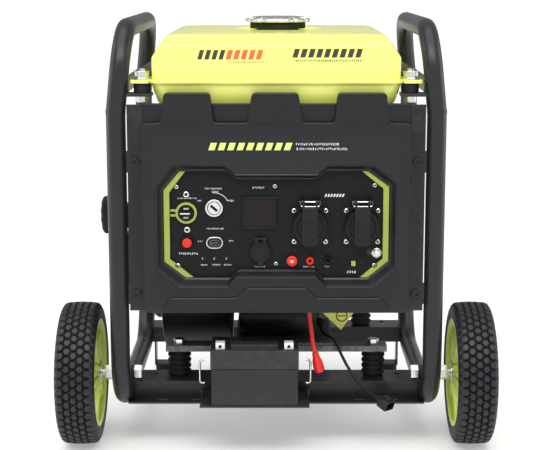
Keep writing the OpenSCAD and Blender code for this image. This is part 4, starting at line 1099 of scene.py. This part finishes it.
def outlet_cover(name, at, body, node):
    """Round lid under a moulded strap, its hinge knuckles, pin and wire spring."""
    x, z = at
    lid_back, lid_front, strap_front = PANEL_Y - 9.5, PANEL_Y - 12.6, PANEL_Y - 16.0
    lid = lathe([(22.3, lid_back), (22.5, lid_back - 0.6), (22.5, lid_front + 1.4),
        (21.9, lid_front + 0.5), (20.6, lid_front), (17.6, lid_front),
        (17.2, lid_front + 0.6), (16.4, lid_front + 0.6), (16.0, lid_front - 0.1),
        (0.5, lid_front - 0.5)], (x, 0, z), "y", 72)
    add(f"{name}_lid", *lid, body, "black_plastic", replaces=(node,), angle=30)
    strap = [(x - 10.6, z - 16, 3), (x - 10.4, z - 22, 4), (x - 6.5, z - 24.6, 4),
        (x + 6.5, z - 24.6, 4), (x + 10.4, z - 22, 4), (x + 10.6, z - 16, 3),
        (x + 10.0, z + 26.5, 2), (x - 10.0, z + 26.5, 2)]
    parts = [plate([round_corners(strap, 3)], strap_front, lid_front + 0.3, 1.1, 3)]
    # raised frame and three bars on the strap
    for outline in (
        [(x - 7.6, z - 18), (x + 7.6, z - 18), (x + 7.2, z + 8), (x - 7.2, z + 8)],
        [(x - 4.2, z - 13), (x + 4.2, z - 13), (x + 4.0, z - 9.6), (x - 4.0, z - 9.6)],
        [(x - 4.0, z - 6), (x + 4.0, z - 6), (x + 3.8, z - 2.6), (x - 3.8, z - 2.6)],
        [(x - 3.8, z + 1), (x + 3.8, z + 1), (x + 3.6, z + 4.4), (x - 3.6, z + 4.4)],
    ):
        rounded_outline = round_corners(outline, 1.2)
        middle_z = (outline[0][1] + outline[2][1]) / 2
        inside = [
            (x + (p - x) * 0.88, middle_z + (q - middle_z) * 0.93) for p, q in rounded_outline
        ]
        outlines = [rounded_outline, inside] if outline[0][0] < x - 7 else [rounded_outline]
        parts.append(plate(outlines, strap_front - 0.45, strap_front + 0.4, 0.15))
    # finger lip at the strap's foot
    parts.append(plate([round_corners([(x - 7.5, z - 24.3), (x + 7.5, z - 24.3),
        (x + 6.5, z - 21.2), (x - 6.5, z - 21.2)], 1.2)],
        strap_front - 1.1, strap_front + 0.6, 0.5))
    for side in (-1, 1):
        knuckle = [(2.75, -1.5), (2.75, 1.5)]
        parts.append(lathe(knuckle, (x + side * 8.4, HINGE.y, HINGE.z), "x", 28))
        parts.append(block((x + side * 8.4 - 1.5, strap_front + 0.5, z + 20),
            (x + side * 8.4 + 1.5, PANEL_Y - 10.2, HINGE.z)))
    add(f"{name}_strap", *join(parts), body, "cover_plastic", angle=30)
    # hinge pin, and the spring leaf that bears on the strap
    spring = [lathe([(0.7, -13.4), (1.15, -13.0), (1.15, 13.0), (0.7, 13.4)],
        (x, HINGE.y, HINGE.z), "x", 20)]
    for side in (-1, 1):
        leg = [(x + side * a, HINGE.y + b, HINGE.z + c) for a, b, c in (
            (4.0, -2.4, -5.6), (8.0, -2.4, -5.6), (10.6, -2.2, -5.4), (11.9, -2.0, -4.4),
            (12.4, -1.6, -2.8), (12.5, -0.6, -0.6))]
        spring.append(wire(leg, 0.75, 10))
    spring.append(wire([(x - 11.0, HINGE.y - 2.4, HINGE.z - 5.6),
        (x, HINGE.y - 2.5, HINGE.z - 5.6), (x + 11.0, HINGE.y - 2.4, HINGE.z - 5.6)], 0.6, 10))
    add(f"{name}_spring", *join(spring), body, "zinc")


for side_name, at in zip(("left", "right"), AC):
    outlet_cover(f"outlet_{side_name}", at, f"cover_{side_name}", f"outlet_cover_{side_name}")

# selector: a dished disc with a grip bar and a white pointer
grip_disc = lathe([(6.0, 14.0), (6.0, PANEL_Y - 0.5), (10.2, PANEL_Y - 0.5), (10.3, PANEL_Y - 4.0),
    (9.7, PANEL_Y - 4.9), (8.2, PANEL_Y - 5.1), (7.6, PANEL_Y - 4.7), (1, PANEL_Y - 4.6)],
    (KNOB.x, 0, KNOB.z), "y", 60)
grip_bar = plate([round_corners([(KNOB.x - 8.8, KNOB.z - 2.4), (KNOB.x - 8.8, KNOB.z + 2.4),
    (KNOB.x + 8.8, KNOB.z + 2.4), (KNOB.x + 8.8, KNOB.z - 2.4)], 2.3)],
    PANEL_Y - 8.9, PANEL_Y - 4.4, 0.7, 3)
add("selector_grip", *join([grip_disc, grip_bar]), "selector", "black_plastic",
    replaces=("selector_knob",), angle=30)
pointer = join([
    slab(rect(KNOB.x - 7.6, KNOB.z - 0.8, KNOB.x + 5.0, KNOB.z + 0.8), PANEL_Y - 9.05,
        PANEL_Y - 8.8),
    dashes(KNOB.x, KNOB.z - 5.9, 7, 2.2, 3, PANEL_Y - 4.62, 0.3),
    dashes(KNOB.x + 0.5, KNOB.z + 5.9, 7, 2.2, 3, PANEL_Y - 4.62, 0.3),
])
add("selector_pointer", *pointer, "selector", "black_plastic", white_marks)

# painted shade: a dark sheet across the key's barrel in its slot, and a dark ring round it as a
# painted shadow groove
KEY = middle("key_rotor")
key_front = span("key_rotor")[0].y
slot_turn = math.radians(-40)
along = (math.cos(slot_turn), math.sin(slot_turn))
slot_outline = [
    (KEY.x + along[0] * u - along[1] * v, KEY.z + along[1] * u + along[0] * v)
    for u, v in rect(-5.6, -1.7, 5.6, 1.7)
]
add("key_slot_shade", *join([
    slab(slot_outline, key_front - 0.08, key_front + 0.5),
    lathe([(8.1, key_front + 0.7), (8.9, key_front + 0.7), (8.9, key_front + 0.4),
        (8.1, key_front + 0.4)], (KEY.x, 0, KEY.z), "y", 60, caps=False),
]), "key", "key_metal", finishes["black_plastic"])

# push buttons: a domed cap on a stem, in a moulded collar
for name, at, radius, lift, body, node in (
    ("start_cap", BUTTON, 6.3, 3.0, "start_key", "start_button"),
    ("breaker_cap", BREAKER, 6.9, 4.0, "breaker", "breaker_button"),
):
    face = span(node)[0].y
    profile = [(min(radius, 5.4), span(node)[1].y), (min(radius, 5.4), PANEL_Y - lift + 0.1),
        (radius, PANEL_Y - lift), (radius, face + 1.6)]
    profile += [(radius * math.cos(math.radians(a)), face + 1.6 - 1.5 * math.sin(math.radians(a)))
        for a in range(12, 88, 12)]
    add(name, *lathe(profile, (at.x, 0, at.z), "y", 56), body, "red_plastic", replaces=(node,),
        angle=50)
breaker_face = span("breaker_button")[0].y
add("breaker_mark", *join([
    slab(rect(BREAKER.x - 2.4, BREAKER.z + z0, BREAKER.x + 2.4, BREAKER.z + z0 + 0.8),
        breaker_face - 0.08, breaker_face + 0.6)
    for z0 in (-1.5, 0.5)]), "breaker", "red_plastic", white_marks)
COLLAR_R = 6.4
collar = lathe([(COLLAR_R + 0.5, 0), (COLLAR_R + 0.5, -2.0),
    (COLLAR_R + 1.3, -2.6), (COLLAR_R + 2.3, -2.2),
    (COLLAR_R + 2.9, 0)], (BUTTON.x, PANEL_Y, BUTTON.z), "y", 56, caps=False)
add("button_collar", *collar, "chassis", "black_plastic")

# rocker: an oval key with an inlaid ring and a raised dash; the grey ring and dashes on its face
# are painted glints
def oval(w, h, steps=12):
    r = h / 2
    return [(ROCKER.x + sx * (w / 2 - r) + r * math.cos(a), ROCKER.z + r * math.sin(a))
        for sx, start in ((1, -90), (-1, 90))
        for a in (math.radians(start + 180 * k / steps) for k in range(steps + 1))]


rocker_face = span("eco_rocker")[0].y
verts, faces = join([
    plate([oval(16.8, 10.8)], rocker_face, rocker_face + 3.9, 0.9, 3),
    block((ROCKER.x - 5.8, rocker_face + 3.5, ROCKER.z - 4.3),
        (ROCKER.x + 5.8, 6, ROCKER.z + 4.3)),
    lathe([(1.0, -5.9), (1.0, 5.9)], (ROCKER.x, PANEL_Y - 1.2, ROCKER.z), "z", 20),
])
add("eco_rocker_key", verts, faces, "rocker", "black_plastic", replaces=("eco_rocker",), angle=30)
# painted glints: a grey oval ring and three dashes on the rocker's face
verts, faces = join([
    plate([oval(13.6, 8.2), oval(12.0, 6.6)], rocker_face - 0.15, rocker_face + 0.3, 0.1),
    dashes(ROCKER.x, ROCKER.z, 9, 2.6, 3, rocker_face, 0.3, 0.6),
])
add("eco_rocker_glints", verts, faces, "rocker", "black_plastic", print_and_glint_grey)

# round 4 mm sockets
for name, (x, z), slot in (("parallel_red", PARALLEL[0], "red_plastic"),
        ("parallel_black", PARALLEL[1], "black_plastic")):
    body = lathe([(3.7, 14), (3.7, PANEL_Y), (5.0, PANEL_Y), (5.0, PANEL_Y - 4.6),
        (4.4, PANEL_Y - 5.8),
        (3.6, PANEL_Y - 5.95), (3.2, PANEL_Y - 5.2), (2.7, PANEL_Y - 5.0), (2.05, PANEL_Y - 5.2),
        (2.05, 10), (0.4, 10)], (x, 0, z), "y", 48)
    add(name, *body, "chassis", slot,
        replaces=("parallel_sockets",) if slot == "red_plastic" else (), angle=40)

# earth terminal: washers, a chamfered hexagon nut and a threaded stud
stud_end = span("ground_terminal")[0].y
threads = [(3.0, 10), (3.0, PANEL_Y - 6.4)]
steps = 14
for i in range(steps):
    y = PANEL_Y - 6.4 - (PANEL_Y - 6.4 - stud_end - 0.6) * i / steps
    threads += [(2.98, y), (2.55, y - 0.22)]
threads += [(2.9, stud_end + 0.5), (2.3, stud_end)]
nut = []
for r, y in ((5.2, PANEL_Y - 1.7), (6.0, PANEL_Y - 2.3), (6.0, PANEL_Y - 5.9),
        (5.2, PANEL_Y - 6.45)):
    nut.append([(GROUND.x + r * math.cos(a), y, GROUND.z + r * math.sin(a))
        for a in (math.radians(30 + 60 * k) for k in range(6))])
verts, faces = join([
    lathe([(3.05, PANEL_Y), (6.5, PANEL_Y), (6.5, PANEL_Y - 0.7), (6.2, PANEL_Y - 0.9),
        (5.6, PANEL_Y - 0.9),
        (5.4, PANEL_Y - 1.7), (3.05, PANEL_Y - 1.7)], (GROUND.x, 0, GROUND.z), "y", 40),
    loft(nut), lathe(threads, (GROUND.x, 0, GROUND.z), "y", 32),
])
add("ground_stud_nut", verts, faces, "chassis", "zinc", replaces=("ground_terminal",), angle=28)

# lime tab between two dark raised wedges, and the ring round the earth sign
panel_tab = plate([round_corners(rect(97.6, 259.6, 103.2, 266.4), 0.9)],
    PANEL_Y - 1.6, PANEL_Y + 0.1, 0.35)
add("panel_lime_tab", *panel_tab, "chassis", "trim_lime")
wedges = [plate([round_corners([(x - 7.5, 262.0), (x + 7.5, 262.0), (x + 2.2, 272.5),
    (x - 2.2, 272.5)], 1.2)],
    PANEL_Y - 1.2, PANEL_Y + 0.1, 0.3) for x in (86.5, 111.0)]
add("panel_wedges", *join(wedges), "chassis", "black_plastic")
EARTH_X, EARTH_Z = 121.0, 278.6
sign, sign_in = (
    [(EARTH_X - r * math.cos(a), EARTH_Z + r * math.sin(a))
        for a in (math.pi * k / 12 for k in range(24))]
    for r in (3.4, 2.8)
)

add_flat_marks("earth_sign", [
    plate([sign, sign_in], PANEL_Y - 0.12, PANEL_Y + 0.05, 0.02),
    dashes(121, 278.2, 3.6, 0.5, 1, PANEL_Y, 0, 1), dashes(121, 277.2, 2.2, 0.5, 1, PANEL_Y, 0, 1),
    slab(rect(120.75, 278.2, 121.25, 280.6), PANEL_Y - 0.12, PANEL_Y + 0.05),
], print_and_glint_grey)

# 12 V socket's lid: two raised rings
DC_AT = (-20.5, 278.5)
lid_front = span("dc_cap")[0].y
lid_ribs = [
    plate([circle(*DC_AT, r, 48), circle(*DC_AT, r - 0.9, 48)], lid_front - 0.4, lid_front + 0.3,
        0.15)
    for r in (11.4, 8.2)
]
add("dc_lid_rings", *join(lid_ribs), "dc_lid", "black_plastic")

# raised inner frame of the display
DISPLAY = middle("display_window")
rim_outer = rect(DISPLAY.x - 21.6, DISPLAY.z - 20.2, DISPLAY.x + 21.6, DISPLAY.z + 20.2)
rim_inner = [(DISPLAY.x + (x - DISPLAY.x) * 0.935, DISPLAY.z + (z - DISPLAY.z) * 0.93) for x,
    z in rim_outer]
add("display_rim", *plate([round_corners(rim_outer, 1.5), round_corners(rim_inner, 1.0)],
    PANEL_Y - 3.7, PANEL_Y - 2.8, 0.3), "chassis", "cover_plastic")

# ---- oil tag's ring, painted shade in the battery terminal screw holes, battery tray, its hooks, and the recoil rope ----

# the tag's face carries a plain dark ring with a bar across it
TAG_AT, TAG_Y = (91.0, 166.0), span("oil_tag")[0].y
tag_ring = [circle(*TAG_AT, r, 48) for r in (8.2, 6.6)]
tag_marks = [plate(tag_ring, TAG_Y - 0.15, TAG_Y + 0.05, 0.03),
    slab(rect(84.8, 165.3, 97.2, 166.7), TAG_Y - 0.15, TAG_Y + 0.05)]
add("oil_tag_ring", *join(tag_marks), "dipstick", "panel_face", print_dark)

TERMINAL = span("battery_terminals")
screw_z = (TERMINAL[0].z + TERMINAL[1].z) / 2
# dark discs in the terminals' screw holes: painted shade
hole_shade_discs = [plate([circle(x, screw_z, 2.3, 24)],
    TERMINAL[0].y - 0.12, TERMINAL[0].y + 0.05, 0.02)
    for x in (TERMINAL[0].x + 6, TERMINAL[1].x - 6)]
add("battery_terminal_hole_shade", *join(hole_shade_discs), "chassis", "black_plastic")

CASE = span("battery_case")
TRAY = span("battery_tray")
tray_parts = [block((TRAY[0].x, TRAY[0].y, CASE[0].z - 2), (TRAY[1].x, 52, CASE[0].z - 0.05))]
for x in (CASE[0].x + 11, CASE[1].x - 31):
    tray_parts.append(block((x, 30, TRAY[0].z), (x + 20, 50, CASE[0].z - 1.9)))
for x in (TRAY[0].x, TRAY[1].x - 2):
    tray_parts.append(block((x, 18, CASE[0].z - 0.1), (x + 2, 26, CASE[0].z + 10)))
add("battery_tray_plate", *join(tray_parts), "chassis", "frame_paint", bevel=0.5,
    replaces=("battery_tray",))
hooks = []
for side in (-1, 1):
    x = (TRAY[1].x + TRAY[0].x) / 2 + side * ((TRAY[1].x - TRAY[0].x) / 2 + 2)
    route = [(x - side * 6, 30, TRAY[1].z - 1.4), (x - side * 4, 30, TRAY[1].z - 1.4)]
    route += [(x - side * (4 - 4 * math.sin(a)), 30, TRAY[1].z - 5.4 + 4 * math.cos(a))
        for a in (math.pi / 10 * k for k in range(1, 6))]
    low = 2 * (CASE[0].z + 33) - TRAY[1].z
    route += [(x, 30, TRAY[1].z - 5.4 - (TRAY[1].z - low - 10.8) * k / 6) for k in range(1, 7)]
    route += [(x - side * (4 - 4 * math.cos(a)), 30, low + 5.4 - 4 * math.sin(a))
        for a in (math.pi / 10 * k for k in range(1, 6))]
    route.append((x - side * 6, 30, low + 1.4))
    hooks.append(wire(route, 1.5, 12))
add("battery_hooks", *join(hooks), "chassis", "zinc")

GRIP = span("recoil_handle")
grip_at = middle("recoil_handle")
grip_rings = []
half_x, half_y = (GRIP[1].x - GRIP[0].x) / 2, (GRIP[1].y - GRIP[0].y) / 2


def squared(value):
    """A cosine or sine swelled so that the round it draws is squarer."""
    return math.copysign(abs(value) ** 0.7, value)


for i in range(25):
    a = math.pi * (i / 24 - 0.5)
    swell = max(0.02, math.cos(a)) ** 0.42
    z = grip_at.z + (GRIP[1].z - GRIP[0].z) / 2 * math.sin(a)
    groove = 1 - 0.05 * math.cos(6 * a) ** 2
    grip_rings.append([
        (grip_at.x + half_x * (0.1 + 0.9 * swell) * groove * squared(math.cos(b)),
            grip_at.y + half_y * (0.1 + 0.9 * swell) * groove * squared(math.sin(b)), z)
        for b in (2 * math.pi * (k + 0.5) / 32 for k in range(32))
    ])
add("recoil_grip_moulded", *loft(grip_rings), "recoil_grip", "black_plastic",
    replaces=("recoil_handle",), angle=60)
rope_out, rope_in = GRIP[1].x - 4, GRIP[1].x + 14
rope_rings = []
for i in range(61):
    x = rope_out + (rope_in - rope_out) * i / 60
    rope_rings.append([
        (x, grip_at.y + (2.1 + 0.25 * math.cos(3 * (a - i * 0.5))) * math.cos(a),
            grip_at.z + (2.1 + 0.25 * math.cos(3 * (a - i * 0.5))) * math.sin(a))
        for a in (2 * math.pi * k / 18 for k in range(18))
    ])
rope_mesh = bpy.data.meshes.new("recoil_rope")
rope_verts, rope_faces = loft(rope_rings)
rope_mesh.from_pydata([place(*v) for v in rope_verts], [], rope_faces)
rope_mesh.shade_smooth()
rope_mesh.materials.append(finish("rope", (0.10, 0.10, 0.098), 0.8, vary=0.25, grain=1400,
    depth=0.1))
rope = put("recoil_rope", rope_mesh)
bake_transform(rope)

# ---- studio ----


def area_light(name, place_at, aim, size, power):
    light = bpy.data.lights.new(name, "AREA")
    light.shape = "RECTANGLE"
    light.size, light.size_y = size
    light.energy = power
    obj = put(name, light)
    obj.location = place_at
    obj.rotation_euler = (Vector(aim) - Vector(place_at)).to_track_quat("-Z", "Y").to_euler()


world = bpy.data.worlds.new("world")
bpy.context.scene.world = world
world.use_nodes = True
sky = world.node_tree
background = sky.nodes["Background"]
background.inputs["Color"].default_value = (1, 1, 1, 1)
# the backdrop is white, and lights the object more softly than it looks
SKY_SHARE = 0.42
rays = sky.nodes.new("ShaderNodeLightPath")
share = sky.nodes.new("ShaderNodeMapRange")
share.inputs["To Min"].default_value = SKY_SHARE
share.inputs["To Max"].default_value = 1.0
sky.links.new(rays.outputs["Is Camera Ray"], share.inputs["Value"])
sky.links.new(share.outputs["Result"], background.inputs["Strength"])
bpy.context.scene.view_settings.view_transform = "Standard"

sun = bpy.data.lights.new("ceiling", "SUN")
sun.energy = 2.5
sun.angle = math.radians(75)
sun_object = put("ceiling", sun)
sun_object.rotation_euler = (math.radians(16), math.radians(-6), 0)
area_light("overhead_front", (0, -0.95, 1.15), (0, -0.15, 0.45), (1.4, 0.35), 9)
area_light("front_left", (-1.5, -2.2, 1.5), (0, 0, 0.3), (0.9, 1.3), 5)
area_light("front_right", (1.6, -2.2, 1.2), (0, 0, 0.3), (0.9, 1.3), 4)
area_light("side_left", (-1.7, 0.1, 0.8), (0, 0, 0.3), (1.2, 1.4), 9)
area_light("side_right", (1.7, 0.1, 0.8), (0, 0, 0.3), (1.2, 1.4), 9)

FLOOR_HALF = 60.0
FLOOR_GLOW = 0.34
floor_mesh = bpy.data.meshes.new("floor")
corners = [(x, y, 0) for x, y in ((-1, -1), (1, -1), (1, 1), (-1, 1))]
floor_mesh.from_pydata([(FLOOR_HALF * x, FLOOR_HALF * y, z) for x, y, z in corners], [],
    [[0, 1, 2, 3]])
floor_finish = finish("floor", (0.62, 0.62, 0.62), 0.8, vary=0.01, grain=60, depth=0.01,
    specular=0.1)
floor_shader = floor_finish.node_tree.nodes["Principled BSDF"]
floor_shader.inputs["Emission Color"].default_value = (1, 1, 1, 1)
floor_shader.inputs["Emission Strength"].default_value = FLOOR_GLOW
floor_mesh.materials.append(floor_finish)
floor = put("floor", floor_mesh)

# ---- carried-over CAD nodes ----

# edge radius in millimetres of each carried-over node, where its edges show
EDGE = {
    "fascia_brackets": 0.6, "control_panel": 0.4, "panel_trim": 0.5,
    "lower_crossbar_front": 0.7, "lower_crossbar_rear": 0.7, "tank_supports": 0.8,
    "foot_pads": 1.0, "rubber_mounts": 0.8, "frame_bolts": 0.5,
    "display": 0.7, "key_switch": 0.6, "key_rotor": 0.35, "selector_ring": 0.5,
    "rocker_bezel": 0.5, "dc_socket": 0.6, "dc_cap": 0.7, "ac_outlets": 0.8,
    "inverter_module": 0.4, "cap_seal": 0.8, "crankcase": 2.0, "engine_cylinder": 0.8,
    "starter_motor": 2.0, "muffler": 4.0, "air_cleaner": 5.0, "fan_housing": 2.5,
    "recoil_cover": 2.0, "recoil_pulley": 0.6, "oil_dipstick": 0.8,
    "oil_tag": 0.3, "battery_case": 1.2, "battery_terminals": 0.6,
}
# the oil tag's lime is brighter than the rims' lime: painted light, standing in for light its
# shaded place under the fascia doesn't get
tag_lime_painted_light = finish("tag_lime_painted_light", (0.93, 0.98, 0.16), 0.4, vary=0.04, grain=700)
for part in frame["record"]["subparts"]:
    node = frame["nodes"][part["node"]]
    look = tag_lime_painted_light if part["node"] == "oil_tag" else finishes[part["material_slot"]]
    for holder in node.material_slots:
        holder.material = look
    if part["node"] in EDGE:
        soften(node, EDGE[part["node"]], clean=True)
